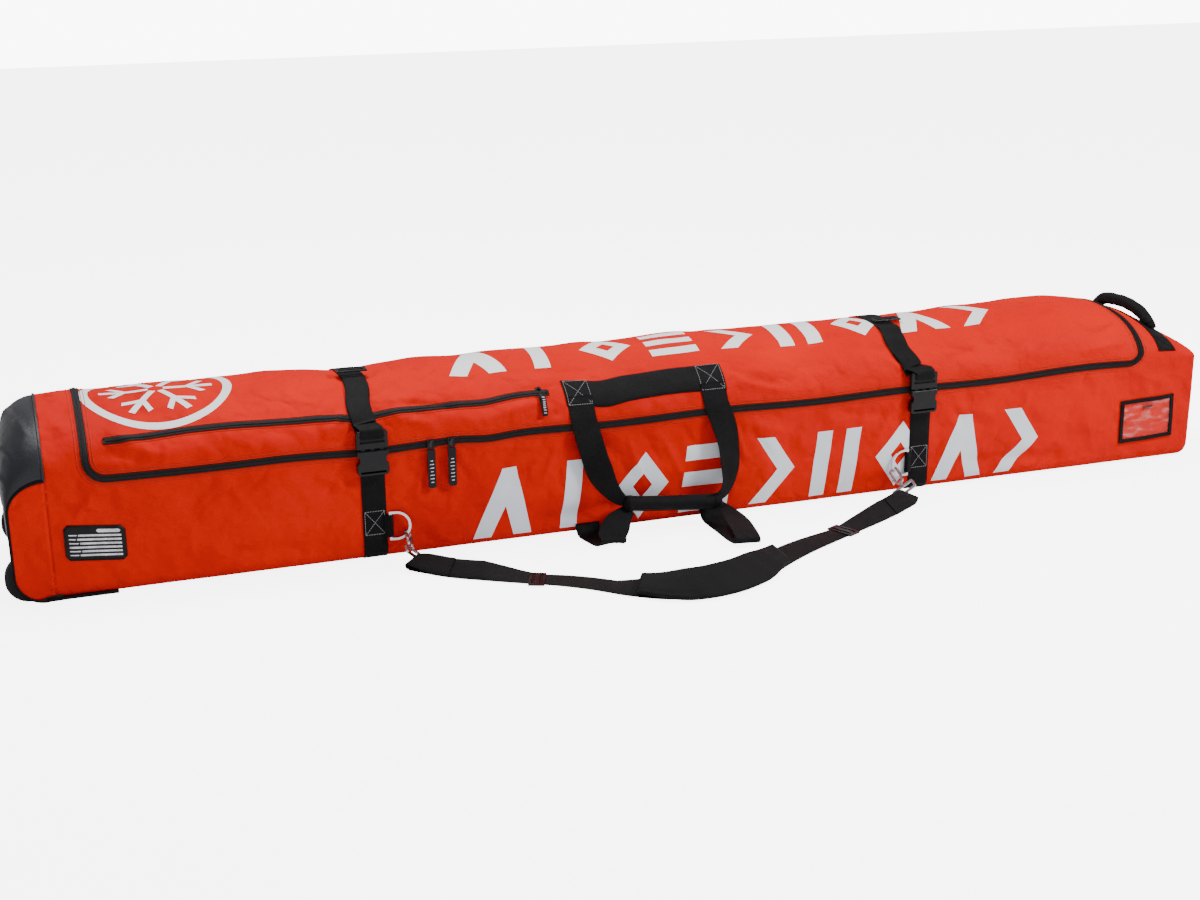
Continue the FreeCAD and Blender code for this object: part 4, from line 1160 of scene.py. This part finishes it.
def handle_webs():
    """The two webs from the band on the lid, which gather into the ends of the grip."""
    rows = {
        "left": [(-0.148, -0.1640, 0.192), (-0.141, -0.1740, 0.158), (-0.132, -0.1800, 0.122),
                 (-0.118, -0.1830, 0.092), (-0.101, -0.1850, 0.069), (-0.086, -0.1855, 0.0585),
                 (-0.060, -0.1855, 0.0560)],
        "right": [(0.098, -0.1640, 0.192), (0.107, -0.1740, 0.158), (0.110, -0.1810, 0.122),
                  (0.108, -0.1880, 0.090), (0.100, -0.1940, 0.064), (0.084, -0.1955, 0.0490),
                  (0.058, -0.1940, 0.0460)]}
    for side, top_x in (("left", -0.152), ("right", 0.090)):
        start = on_bag(np.array([top_x]), np.array([lid_a(0.240, top_x)]), 0.0026)[0]
        knee = on_bag(np.array([top_x]), np.array([lid_a(0.212, top_x)]), 0.0034)[0]
        path = smooth_path([start, knee] + rows[side], 64)
        share = np.linspace(0, 1, len(path))
        sign = 1 if side == "left" else -1
        swing = sign * 1.02 * smoothstep(0.42, 0.93, share)
        twist = sign * (0.35 * hump(share, 0.55, 0.16) + 0.55 * smoothstep(0.60, 0.92, share))
        across = np.stack([np.cos(swing), -np.sin(twist), np.sin(swing)], -1)
        width = 0.046 - 0.022 * smoothstep(0.55, 0.90, share) + 0.0006 * np.sin(share * 25)
        web = ribbon(f"carry_web_{side}", path, across, width, 0.0020, WEBBING)
        apply_modifier(web, "SUBSURF", levels=1)
        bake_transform(web)
        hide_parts(f"handle_web_{side}")


def padded_grip():
    """Soft wrap round the two webs, closed with a flap."""
    low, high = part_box("handle_grip")
    radius = (high.z - low.z) / 2 - 0.0006
    columns, rows = 40, 60
    turn = np.linspace(0, 2 * math.pi, columns, endpoint=False)[None, :]
    share = np.linspace(0, 1, rows)[:, None]
    x = lerp(low.x + 0.001, high.x - 0.001, share) + 0 * turn
    end = np.clip(np.minimum(share, 1 - share) / 0.045, 0, 1)
    y, z = grip_place(x)
    fat = radius * (0.78 + 0.22 * np.sqrt(1 - (1 - end) ** 2))
    ripple = 0.0005 * waves(share * 0.18, turn * radius, 51, 9, 0.07, 0.02)
    flat = 1 - 0.06 * np.abs(np.sin(turn)) ** 2
    r = (fat + ripple * end) * flat
    points = np.stack([x, y + r * np.cos(turn), z - 0.0012 * np.sin(share * math.pi) + r * np.sin(turn)], -1)
    uvs = np.stack([turn * radius + 0 * share, x], -1)
    grip = make_object("grip_wrap", points.reshape(-1, 3), capped(rows, columns), PADDING, uvs.reshape(-1, 2))
    settle(grip, "carry_handle", "padding", "handle_grip")
    for k, angle in enumerate((3.65, 4.35)):
        run = np.linspace(low.x + 0.008, high.x - 0.008, 40)
        y, z = grip_place(run)
        line = np.stack([run, y + radius * math.cos(angle), z - 0.001 + radius * 0.985 * math.sin(angle)], -1)
        seam = tube(f"grip_seam_{k}", line, 0.0007, PADDING, 6)
        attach(seam, "carry_handle")
    turn = np.linspace(math.radians(20), math.radians(250), 34)
    for k, x in enumerate((low.x + 0.010, high.x - 0.010)):
        y, z = grip_place(x)
        line = np.stack([np.full(34, x), y + (radius * 0.99 + 0.0004) * np.cos(turn),
                         z - 0.0006 + (radius * 0.96 + 0.0004) * np.sin(turn)], -1)
        bind = ribbon(f"grip_binding_{k}", line, ALONG_X, 0.009, 0.0011, WEBBING)
        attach(bind, "carry_handle")


def lower_webs():
    """The second carry handle's webbing, fallen onto the floor and looped back up to the grip."""
    routes = {
        "left": [(-0.146, -0.1592, 0.020), (-0.146, -0.163, 0.004), (-0.142, -0.185, 0.0016),
                 (-0.135, -0.208, 0.0016), (-0.129, -0.228, 0.0030), (-0.125, -0.2325, 0.009),
                 (-0.124, -0.228, 0.0135), (-0.119, -0.216, 0.0190), (-0.105, -0.205, 0.0300),
                 (-0.092, -0.196, 0.0400), (-0.080, -0.190, 0.0455)],
        "right": [(0.084, -0.1592, 0.020), (0.084, -0.163, 0.004), (0.085, -0.190, 0.0016),
                  (0.087, -0.235, 0.0016), (0.088, -0.285, 0.0018), (0.088, -0.315, 0.0060),
                  (0.088, -0.3175, 0.015), (0.090, -0.295, 0.0225), (0.094, -0.255, 0.0270),
                  (0.095, -0.228, 0.0300), (0.090, -0.208, 0.0340), (0.080, -0.197, 0.0385)]}
    for side, route in routes.items():
        path = smooth_path(route, 60)
        share = np.linspace(0, 1, 60)
        sway = 0.16 if side == "left" else -0.10
        across = np.stack([np.ones(60), sway * np.sin(share * math.pi), 0.10 * np.sin(share * 2 * math.pi)], -1)
        spread = 0.006 if side == "left" else 0
        width = 0.0435 + spread * hump(share, 0.6, 0.25) - 0.020 * smoothstep(0.76, 1.0, share)
        web = ribbon(f"fallen_web_{side}", path, across, width, 0.0020, WEBBING)
        lift_above(web, 0.0003)
        settle(web, "root", "webbing", f"lower_web_{side}")


# ------------------------------------------------------------------ far end handle
def end_handle():
    low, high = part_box("end_handle_band")
    middle = (low.x + high.x) / 2
    front = lid_a(low.z + 0.004, middle)
    a = spaced(front, LID_LENGTH - front)
    band = band_on_bag("end_band", np.full(a.shape, middle), a, high.x - low.x, 0.0012, 0.0018, WEBBING)
    settle(band, "root", "webbing", "end_handle_band")
    boxes = (cross_box(low.x, high.x, a[0] + 0.001, a[0] + 0.044)
             + cross_box(low.x, high.x, a[-1] - 0.044, a[-1] - 0.001))
    stitches("end_band_thread", boxes, "root", WEBBING)
    lean = math.radians(-8.0)
    reach, top_z = 0.094, 0.2790
    surface = bag_point(middle, np.linspace(0.02, LID_LENGTH - 0.02, 200))
    foot_z = float(np.interp(-reach, surface[:100, 1], surface[:100, 2]))
    share = np.linspace(0, 1, 41)
    height = (top_z - foot_z) * (1 - np.abs(2 * share - 1) ** 3.2) + 0.0006 * np.sin(share * 17)
    sideways = lerp(-reach, reach, share)
    rows = np.stack([middle + 0.004 + height * math.sin(lean), sideways, foot_z + height * math.cos(lean)], -1)
    radius = 0.0116 - 0.0016 * (np.abs(2 * share - 1) ** 8) + 0.0003 * np.sin(share * 40)
    arch = tube("end_grip", rows, radius, PADDING, 20)
    settle(arch, "end_handle", "padding", "end_handle_grip")
    for k, (first, last) in enumerate(((0.02, 0.12), (0.88, 0.98))):
        keep = [row for row, s in zip(rows, share) if first <= s <= last]
        cuff = tube(f"end_grip_cuff_{k}", keep, 0.0112, WEBBING, 20)
        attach(cuff, "end_handle")


# ------------------------------------------------------------------ small sewn parts
def ring_tabs():
    for side in SIDES:
        low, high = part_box(f"ring_tab_{side}")
        sign = 1 if side == "left" else -1
        outer_x = high.x if sign > 0 else low.x
        inner_x = STRAP_X[side] + sign * 0.0155
        z = (low.z + high.z) / 2
        y0, y1 = low.y + 0.0010, high.y - 0.0012
        mid, half = (y0 + y1) / 2, (y1 - y0) / 2
        turn = np.linspace(-math.pi / 2, math.pi / 2, 11)
        outer = [(outer_x - sign * half + sign * half * math.cos(t), mid + half * math.sin(t), z) for t in turn]
        path = [(inner_x, -HALF_WIDTH - 0.0030, z), (lerp(inner_x, outer_x, 0.4), y0 + 0.002, z)] + outer
        path += [(inner_x, y1 + 0.0002, z)]
        path = smooth_path(path, 40)
        tab = ribbon(f"ring_loop_{side}", path, UPWARD, high.z - low.z, 0.0016, WEBBING)
        settle(tab, "root", "webbing", f"ring_tab_{side}")


def piping():
    """Black cord sewn round the wheel-end edge of both side panels."""
    for name, side in (("front", -1), ("back", 1)):
        share = np.linspace(0, 1, 34)
        x = GREY_SEAM - (GREY_SEAM + LENGTH) * np.sin(share * math.pi / 2)
        top, low = panel_outline(x)
        outer_y = side * (HALF_WIDTH + 0.0004)
        upper = np.stack([x, np.full(34, outer_y), top], -1)
        down = np.linspace(top[-1], 0.046, 16)[1:]
        straight = np.stack([np.full(15, -LENGTH), np.full(15, outer_y), down], -1)
        turn = quarter_turn(14)[1:]
        bend = np.stack([-LENGTH + END_RADIUS * (1 - np.cos(turn)), np.full(13, outer_y),
                         0.0028 + 0.0432 * (1 - np.sin(turn))], -1)
        run = np.linspace(-1.040, -0.935, 16)[1:]
        tucked_y = side * (HALF_WIDTH - 0.0045 * smoothstep(-1.03, -0.98, run))
        tail = np.stack([run, tucked_y, np.full(15, 0.0034)], -1)
        cord = tube(f"piping_{name}", np.concatenate([upper, straight, bend, tail]), 0.0023, WEBBING, 10)
        settle(cord, "root", "gusset_grey", f"end_piping_{name}")
    a = spaced(0.004, LID_LENGTH - 0.004)
    seam = band_on_bag("grey_seam", np.full(a.shape, GREY_SEAM), a, 0.0040, 0.0010, 0.0020, GREY)
    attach(seam, "root")


def small_label():
    """Black woven label with grey ruled bars."""
    x0, x1 = -1.005, -0.912
    corner = 0.007

    def patch(name, xa, xb, za, zb, lift, material, thickness=0.0012, radius=0.0):
        x = np.linspace(xa, xb, 16)[None, :]
        share = np.linspace(0, 1, 10)[:, None]
        drop = -0.095 * (x - x0)
        from_end = np.minimum(x - xa, xb - x)
        rounding = radius - np.sqrt(np.clip(radius ** 2 - (radius - from_end) ** 2, 0, None))
        shrink = np.where(from_end < radius, rounding, 0)
        z = lerp(za + shrink, zb - shrink, share) + drop
        a = wall_a(z)
        cloth = Patchwork()
        cloth.add(on_bag(np.broadcast_to(x, a.shape), a, lift), np.stack([np.broadcast_to(x, a.shape), z], -1))
        piece = cloth.build(name, material, merge=0)
        apply_modifier(piece, "SOLIDIFY", thickness=thickness, offset=1)
        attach(piece, "root")

    patch("label_patch", x0, x1, 0.065, 0.124, 0.0002, LABEL_INK, radius=corner)
    patch("label_mark", x1 - 0.044, x1 - 0.008, 0.1125, 0.1180, 0.0013, LABEL_BAR, 0.0003, 0.002)
    for k, short in enumerate((0.014, 0.012, 0.016, 0.0, 0.018, 0.015)):
        z = 0.1060 - k * 0.0066
        if short:
            patch(f"label_tick_{k}", x0 + 0.007, x0 + 0.005 + short, z + 0.0008, z + 0.0026, 0.0013,
                  LABEL_BAR, 0.0003)
        patch(f"label_line_{k}", x0 + 0.007 + short, x1 - 0.007, z, z + 0.0032, 0.0013, LABEL_BAR, 0.0003)


def address_window():
    low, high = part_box("id_window")
    cx, cz, tilt = (low.x + high.x) / 2, (low.z + high.z) / 2 + 0.003, math.radians(2.5)
    half_w, half_h = 0.0550, 0.0378

    def place(u, w, lift):
        x = cx + u * math.cos(tilt) - w * math.sin(tilt)
        z = cz + u * math.sin(tilt) + w * math.cos(tilt)
        point = bag_point(x, wall_a(z))
        point[..., 1] = -HALF_WIDTH - 0.0006 - lift + np.minimum(point[..., 1] + HALF_WIDTH, 0)
        return point

    u = np.linspace(-half_w, half_w, 60)[None, :]
    w = np.linspace(-half_h, half_h, 40)[:, None]
    u, w = np.broadcast_arrays(u, w)
    fall = (1 - np.abs(u / half_w) ** 4) * (1 - np.abs(w / half_h) ** 4)
    wrinkle = 0.0012 * fall * (waves(u, w, 61, 12, 0.07, 0.018, lean=0.6) * 0.5 + 0.4)
    cloth = Patchwork()
    cloth.add(place(u, w, 0.0008 + wrinkle), np.stack([u, w], -1))
    film = cloth.build("window_film", FILM, merge=0)
    settle(film, "root", "window", "id_window")
    corners = [(-half_w, -half_h), (half_w, -half_h), (half_w, half_h), (-half_w, half_h)]
    parts = []
    t = np.linspace(-0.03, 1.03, 24)
    for (u0, w0), (u1, w1) in zip(corners, corners[1:] + corners[:1]):
        mid = place(lerp(u0, u1, t), lerp(w0, w1, t), 0.0012)
        away = unit(np.array([w1 - w0, u0 - u1]))
        other = place(lerp(u0, u1, t) + away[0] * 0.002, lerp(w0, w1, t) + away[1] * 0.002, 0.0012)
        parts.append(ribbon("binding", mid, other - mid, 0.0075, 0.0020, WEBBING))
    binding = add_all(parts, "window_binding", WEBBING)
    settle(binding, "root", "webbing")
    t = np.linspace(-1, 1, 12)
    hang = tube("window_slot", place(t * 0.009, np.full(12, half_h - 0.013), 0.0026), 0.0016, SLIDER, 8)
    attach(hang, "root")


# ------------------------------------------------------------------ prints
def decal(name, outline, holes, body, material, to_bag, lift=0.0005):
    """Flat print: a polygon in its own plane (u, w), with holes, wrapped onto the bag by to_bag."""
    curve = bpy.data.curves.new(name, "CURVE")
    curve.dimensions = "2D"
    curve.fill_mode = "BOTH"
    for ring in [outline] + holes:
        spline = curve.splines.new("POLY")
        spline.points.add(len(ring) - 1)
        for knot, (u, w) in zip(spline.points, ring):
            knot.co = (u, w, 0, 1)
        spline.use_cyclic_u = True
    holder = bpy.data.objects.new(name, curve)
    bpy.context.scene.collection.objects.link(holder)
    mesh = finished_mesh(holder)
    bpy.data.objects.remove(holder)
    flat = bpy.data.objects.new(name, mesh)
    bpy.context.scene.collection.objects.link(flat)
    cut_fine(flat, 0.006)
    co = np.array([v.co for v in flat.data.vertices])
    x, a = to_bag(co[:, 0], co[:, 1])
    wrapped = on_bag(x, a, lift)
    faces = [tuple(f.vertices) for f in flat.data.polygons]
    bpy.data.objects.remove(flat)
    uvs = np.stack([x, a], -1)
    piece = make_object(name, wrapped, faces, material, uvs)
    outward = piece.data.polygons[0].normal
    _, want = bag_frame(x[:1], a[:1])
    if Vector(want[0]).dot(outward) < 0:
        piece.data.flip_normals()
    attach(piece, body)


def cut_fine(obj, size):
    """Slice a flat mesh by a grid, so that it can be bent."""
    mesh = bmesh.new()
    mesh.from_mesh(obj.data)
    low = np.min([v.co for v in mesh.verts], axis=0)
    high = np.max([v.co for v in mesh.verts], axis=0)
    for axis in (0, 1):
        normal = Vector((1, 0, 0)) if axis == 0 else Vector((0, 1, 0))
        for value in np.arange(low[axis] + size, high[axis], size):
            geometry = mesh.verts[:] + mesh.edges[:] + mesh.faces[:]
            bmesh.ops.bisect_plane(mesh, geom=geometry, plane_co=normal * value, plane_no=normal)
    mesh.to_mesh(obj.data)
    mesh.free()


def shape_outlines():
    """Nine bold figures, each in a box one unit tall: slanted bars, rings, peaks and chevrons."""
    slant = 0.12

    def lean(points):
        return [(u + slant * w, w) for u, w in points]

    bar = lean([(0.0, 0), (0.24, 0), (0.24, 1), (0.0, 1)])
    pair = [bar, lean([(0.46, 0), (0.70, 0), (0.70, 1), (0.46, 1)])]
    peak = lean([(0, 0), (0.26, 0), (0.42, 0.44), (0.58, 0), (0.84, 0), (0.52, 1), (0.32, 1)])
    diamond = lean([(0.42, 0), (0.84, 0.5), (0.42, 1), (0.0, 0.5)])
    hole = lean([(0.42, 0.32), (0.27, 0.5), (0.42, 0.68), (0.57, 0.5)])
    chevron = lean([(0, 0), (0.27, 0), (0.66, 0.5), (0.27, 1), (0, 1), (0.38, 0.5)])
    stripes = [lean([(0, base), (0.74, base), (0.74, base + 0.22), (0, base + 0.22)])
               for base in (0, 0.39, 0.78)]
    return [[(peak, [])], [(bar, [])], [(diamond, [hole])], [(s, []) for s in stripes], [(chevron, [])],
            [(p, []) for p in pair], [(diamond, [hole])], [(peak, [])], [(chevron, [])]]


def figure_row(prefix, material, body, x_start, x_end, tall, to_bag):
    """Lay the nine figures in a row from x_start to x_end."""
    figures = shape_outlines()
    pitch = (x_end - x_start) / len(figures)
    wide = pitch * 0.84
    for i, figure in enumerate(figures):
        reach = max(u for outline, _ in figure for u, _ in outline)
        scale = min(wide / reach, tall)
        shift = x_start + i * pitch + (wide - reach * scale) / 2
        for k, (outline, holes) in enumerate(figure):
            place = [[(shift + u * scale, w * tall) for u, w in ring] for ring in [outline] + holes]
            decal(f"{prefix}_{i}_{k}", place[0], place[1:], body, material, to_bag)


def ring_points(radius, count=64, centre=(0, 0)):
    return [(centre[0] + radius * math.cos(t), centre[1] + radius * math.sin(t))
            for t in np.linspace(0, 2 * math.pi, count, endpoint=False)]


def snow_crystal(centre, radius, to_bag):
    """Six-armed snow crystal inside a ring, in place of a maker's roundel."""
    decal("crystal_ring", ring_points(radius, centre=centre), [ring_points(radius * 0.88, centre=centre)],
          "lid", PALE_PRINT, to_bag)
    for k in range(6):
        turn = math.pi / 3 * k
        c, s = math.cos(turn), math.sin(turn)

        def spin(points):
            return [(centre[0] + (u * c - w * s) * radius, centre[1] + (u * s + w * c) * radius)
                    for u, w in points]

        decal(f"crystal_arm_{k}", spin([(0.10, -0.045), (0.74, -0.045), (0.74, 0.045), (0.10, 0.045)]), [],
              "lid", PALE_PRINT, to_bag, 0.0006)
        for side in (-1, 1):
            branch = [(0.36, 0), (0.46, 0), (0.64, 0.19 * side), (0.56, 0.22 * side)]
            decal(f"crystal_twig_{k}_{side + 1}", spin(branch), [], "lid", PALE_PRINT, to_bag, 0.0008)


def prints():
    def front(u, w):
        return u, wall_a(w)

    def crown(u, w):
        return u, LID_LENGTH * 0.5 + w

    figure_row("front_mark", PRINT, "root", -0.350, 0.770, 0.122, lambda u, w: front(u, w + 0.014))
    figure_row("top_mark", PALE_PRINT, "lid", -0.360, 0.740, 0.120, lambda u, w: crown(u, w - 0.072))
    snow_crystal((-0.836, -0.008), 0.122, lambda u, w: crown(u, w))


# ------------------------------------------------------------------ shoulder strap
SHOULDER_ROUTE = [(-0.462, -0.212), (-0.440, -0.240), (-0.411, -0.267), (-0.371, -0.293), (-0.320, -0.320),
                  (-0.262, -0.352), (-0.205, -0.395), (-0.158, -0.447), (-0.098, -0.482), (-0.025, -0.484),
                  (0.048, -0.450), (0.108, -0.402), (0.168, -0.362), (0.232, -0.328), (0.305, -0.292),
                  (0.372, -0.262), (0.416, -0.236), (0.446, -0.210)]


def end_loop(side, ends, across):
    """The strap's end, passed through the snap hook's eye and sewn back on itself."""
    ends, across = np.array(ends), np.array(across)
    onward = unit(np.gradient(-ends, axis=0))
    up = np.cross(onward, across)
    up *= np.sign(up[:, 2:])
    centre = ends[0] + onward[0] * 0.0010 + up[0] * 0.0058
    bend = [centre + 0.0050 * (onward[0] * math.cos(t) + up[0] * math.sin(t))
            for t in np.linspace(-1.45, 1.45, 7)]
    lifts = (0.0108, 0.0092, 0.0062, 0.0036, 0.0024, 0.0022)
    back = [ends[k] + up[k] * lift for k, lift in enumerate(lifts)]
    knots = np.array([ends[1] + up[1] * 0.0010, ends[0] + up[0] * 0.0009] + bend + back)
    sides = np.array([across[1], across[0]] + [across[0]] * 7 + list(across[:6]))
    run = running_length(knots)
    path = smooth_path(knots, 60)
    share = np.linspace(0, 1, 60)
    turned = np.stack([np.interp(share * run[-1], run, sides[:, k]) for k in range(3)], -1)
    path[:, 2] = np.maximum(path[:, 2], 0.0012 + 0.0186 * np.abs(turned[:, 2]))
    loop = ribbon(f"strap_end_{side}", path, turned, 0.0374 - 0.0030 * hump(share, 0.25, 0.12),
                  WEB_THICKNESS, WEBBING)
    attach(loop, "root")


def shoulder_strap():
    flat = smooth_path([(x, y, 0.0) for x, y in SHOULDER_ROUTE], 300)
    roll = strap_roll(flat)
    across, line = rolled(flat, roll, 0.0189, 0.0012)
    web = ribbon("shoulder_ribbon", line, across, 0.0378, 0.0018, WEBBING)
    settle(web, "root", "webbing", "shoulder_web")
    end_loop("left", line[:24:4], across[:24:4])
    end_loop("right", line[:-25:-4], across[:-25:-4])
    shoulder_cushion(flat, roll)


def nearest(line, place):
    """Index of the point of the line that is nearest to this place on the floor."""
    return int(np.argmin(np.hypot(line[:, 0] - place[0], line[:, 1] - place[1])))


def strap_roll(flat):
    """How far the strap leans on its lower edge, in radians, along its route."""
    marks = [(0, 0.20), (1, 0.55), (3, 0.62), (4, 0.22), (4.5, 0.04), (5.2, 0.10), (6.3, 0.16), (7, 0.50),
             (9, 0.62), (11, 0.52), (12, 0.30), (13.1, 0.10), (13.5, 0.04), (14.2, 0.30), (15, 0.66),
             (16, 0.66), (17, 0.25)]
    place = np.zeros(len(flat))
    last = 0
    for k, mark in enumerate(SHOULDER_ROUTE):
        near = nearest(flat, mark)
        place[last:near + 1] = np.linspace(max(k - 1, 0), k, near + 1 - last)
        last = near
    place[last:] = len(SHOULDER_ROUTE) - 1
    return np.interp(place, [m for m, _ in marks], [r for _, r in marks])


def rolled(flat, roll, half, clear):
    """Cross direction and centre line of a band that stands on its front edge at this roll."""
    along = np.gradient(flat, axis=0)
    across = unit(np.cross(UPWARD, along))
    tilted = across * np.cos(roll)[:, None] + np.array(UPWARD) * np.sin(roll)[:, None]
    line = flat.copy()
    line[:, 2] = clear + half * np.sin(roll) + 0.0006 * np.cos(roll)
    return tilted, line


def shoulder_cushion(flat, roll):
    """Padded sleeve on the middle of the strap, quilted in three rows and bound at its edges."""
    start, stop = [nearest(flat, SHOULDER_ROUTE[k]) for k in (7, 11)]
    part, part_roll = flat[start:stop + 1], roll[start:stop + 1]
    cross, centre = rolled(part, part_roll, 0.0290, 0.0036)
    step = np.gradient(part, axis=0)
    normal = unit(np.cross(step, cross))
    centre = centre + np.array((0, 0, 0.0008))
    n, columns = len(part), 36
    turn = np.linspace(0, 2 * math.pi, columns, endpoint=False)
    inward = np.minimum(np.arange(n), n - 1 - np.arange(n))
    half_widths = 0.0205 + 0.0095 * smoothstep(0, 24, inward)
    rows, uvs = [], []
    for i in range(n):
        end = min(min(i, n - 1 - i) / 9, 1)
        fade = math.sqrt(max(1 - (1 - end) ** 2, 0.02))
        half_w = half_widths[i]
        half_h = 0.0046 * (0.45 + 0.55 * fade)
        for t in turn:
            u = math.copysign(abs(math.cos(t)) ** 0.55, math.cos(t)) * half_w
            w = math.copysign(abs(math.sin(t)) ** 0.75, math.sin(t)) * half_h
            w -= math.copysign(0.0008 * max(math.cos(u / half_w * math.pi * 3), -0.2), w)
            w += 0.0005 * math.sin(i * 0.55 + u * 60)
            rows.append(centre[i] + cross[i] * u + normal[i] * w)
            uvs.append((u, i * 0.0036))
    pad = make_object("shoulder_cushion", rows, capped(n, columns), PADDING, uvs)
    settle(pad, "root", "padding", "shoulder_pad")
    edge = cross * (half_widths - 0.0012)[:, None]
    rim = np.concatenate([centre + edge, (centre - edge)[::-1]])
    binding = tube("shoulder_binding", rim, 0.0021, WEBBING, 8, closed=True)
    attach(binding, "root")


# ------------------------------------------------------------------ fittings kept from the frame
def both(stem):
    return [f"{stem}_{side}" for side in SIDES]


def dress(names, material):
    for name in names:
        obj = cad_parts[name]
        for place in obj.material_slots:
            place.material = material
        if not obj.material_slots:
            obj.data.materials.append(material)


def pull_bars():
    """Raised grey bars down each zip pull."""
    for name in both("pull"):
        low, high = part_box(name)
        middle = (low.x + high.x) / 2
        parts = []
        for k in range(7):
            z = low.z + 0.010 + k * 0.0062
            reach = 0.0034 if k % 3 else 0.0024
            line = [(middle - reach, low.y - 0.0001, z), (middle + reach, low.y - 0.0001, z)]
            parts.append(tube("bar", line, 0.0008, LABEL_BAR, 8))
        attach(add_all(parts, f"{name}_bars", LABEL_BAR), name)


def pocket_tag():
    """Flat woven tag hanging from the pocket's pull."""
    low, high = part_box("pocket_pull")
    middle = (low.x + high.x) / 2
    top = float(pocket_line(np.array([middle]))[0]) - 0.006
    tag = patch_on_bag("pocket_tag", middle - 0.0048, middle + 0.0048, top - 0.034, top, 0.0058, 0.0012, TAG)
    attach(tag, "pocket_pull")
    marks = []
    for a in np.linspace(top - 0.029, top - 0.007, 8):
        ends = [on_bag(middle + reach, a, 0.0072) for reach in (-0.0024, 0.0024)]
        marks.append(tube("mark", ends, 0.0007, LABEL_BAR, 8))
    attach(add_all(marks, "pocket_tag_bars", LABEL_BAR), "pocket_pull")


def fittings():
    wheels = ["front", "back"]
    dress(both("d_ring") + both("snap_hook") + both("hook_gate"), STEEL)
    dress(both("buckle_socket") + both("buckle_plug") + both("strap_adjuster") + both("shoulder_slide"), BUCKLE)
    dress([f"axle_{w}" for w in wheels], AXLE)
    dress([f"wheel_hub_{w}" for w in wheels], MOULDED)
    dress([f"wheel_tyre_{w}" for w in wheels], RUBBER)
    dress([f"wheel_housing_{w}" for w in wheels] + ["skid_plate"], MOULDED)
    dress(both("slider") + ["pocket_slider"], SLIDER)
    dress(both("pull") + ["pocket_pull"], TAG)


# ------------------------------------------------------------------ floor and light
def studio():
    material, tree, shader = new_material("studio_floor", (0.86, 0.86, 0.87), 0.85)
    place = texture_place(tree, "Object")
    colour_mix(tree, shader, noise(tree, place, 2.5, 3), (0.85, 0.85, 0.86), (0.88, 0.88, 0.89))
    set_shader(shader, Specular_IOR_Level=0.1, Emission_Color=(1, 1, 1, 1))
    seen = add_node(tree, "ShaderNodeLightPath").outputs["Is Camera Ray"]
    tree.links.new(math_node(tree, "MULTIPLY", seen, 5.5), shader.inputs["Emission Strength"])
    corners = [(-9, -7, 0), (9, -7, 0), (9, 9, 0), (-9, 9, 0)]
    floor = make_object("studio_floor", corners, [(0, 1, 2, 3)], material, np.zeros((4, 2)))
    floor.location.z = -0.0002
    world = bpy.data.worlds.new("studio")
    world.use_nodes = True
    tree = world.node_tree
    background = tree.nodes["Background"]
    background.inputs["Color"].default_value = (0.96, 0.97, 1.0, 1)
    seen = add_node(tree, "ShaderNodeLightPath").outputs["Is Camera Ray"]
    strength = math_node(tree, "ADD", math_node(tree, "MULTIPLY", seen, 9.0), 0.34)
    tree.links.new(strength, background.inputs["Strength"])
    bpy.context.scene.world = world
    for name, place, power, size in (("key", (2.2, -1.6, 2.6), 104, 0.7), ("top", (-0.6, 0.7, 2.9), 85, 1.2),
                                     ("front", (-1.6, -4.0, 1.4), 20, 1.8)):
        data = bpy.data.lights.new(name, "AREA")
        data.energy, data.size = power, size
        lamp = bpy.data.objects.new(name, data)
        lamp.location = place
        lamp.rotation_euler = (Vector((0, 0, 0.1)) - Vector(place)).to_track_quat("-Z", "Y").to_euler()
        bpy.context.scene.collection.objects.link(lamp)


main_zip()
pocket_zip()
for strap_side in SIDES:
    compression_strap(strap_side)
carry_band()
handle_webs()
padded_grip()
lower_webs()
end_handle()
ring_tabs()
piping()
small_label()
address_window()
prints()
shoulder_strap()
fittings()
pull_bars()
pocket_tag()
studio()

bpy.context.view_layer.update()
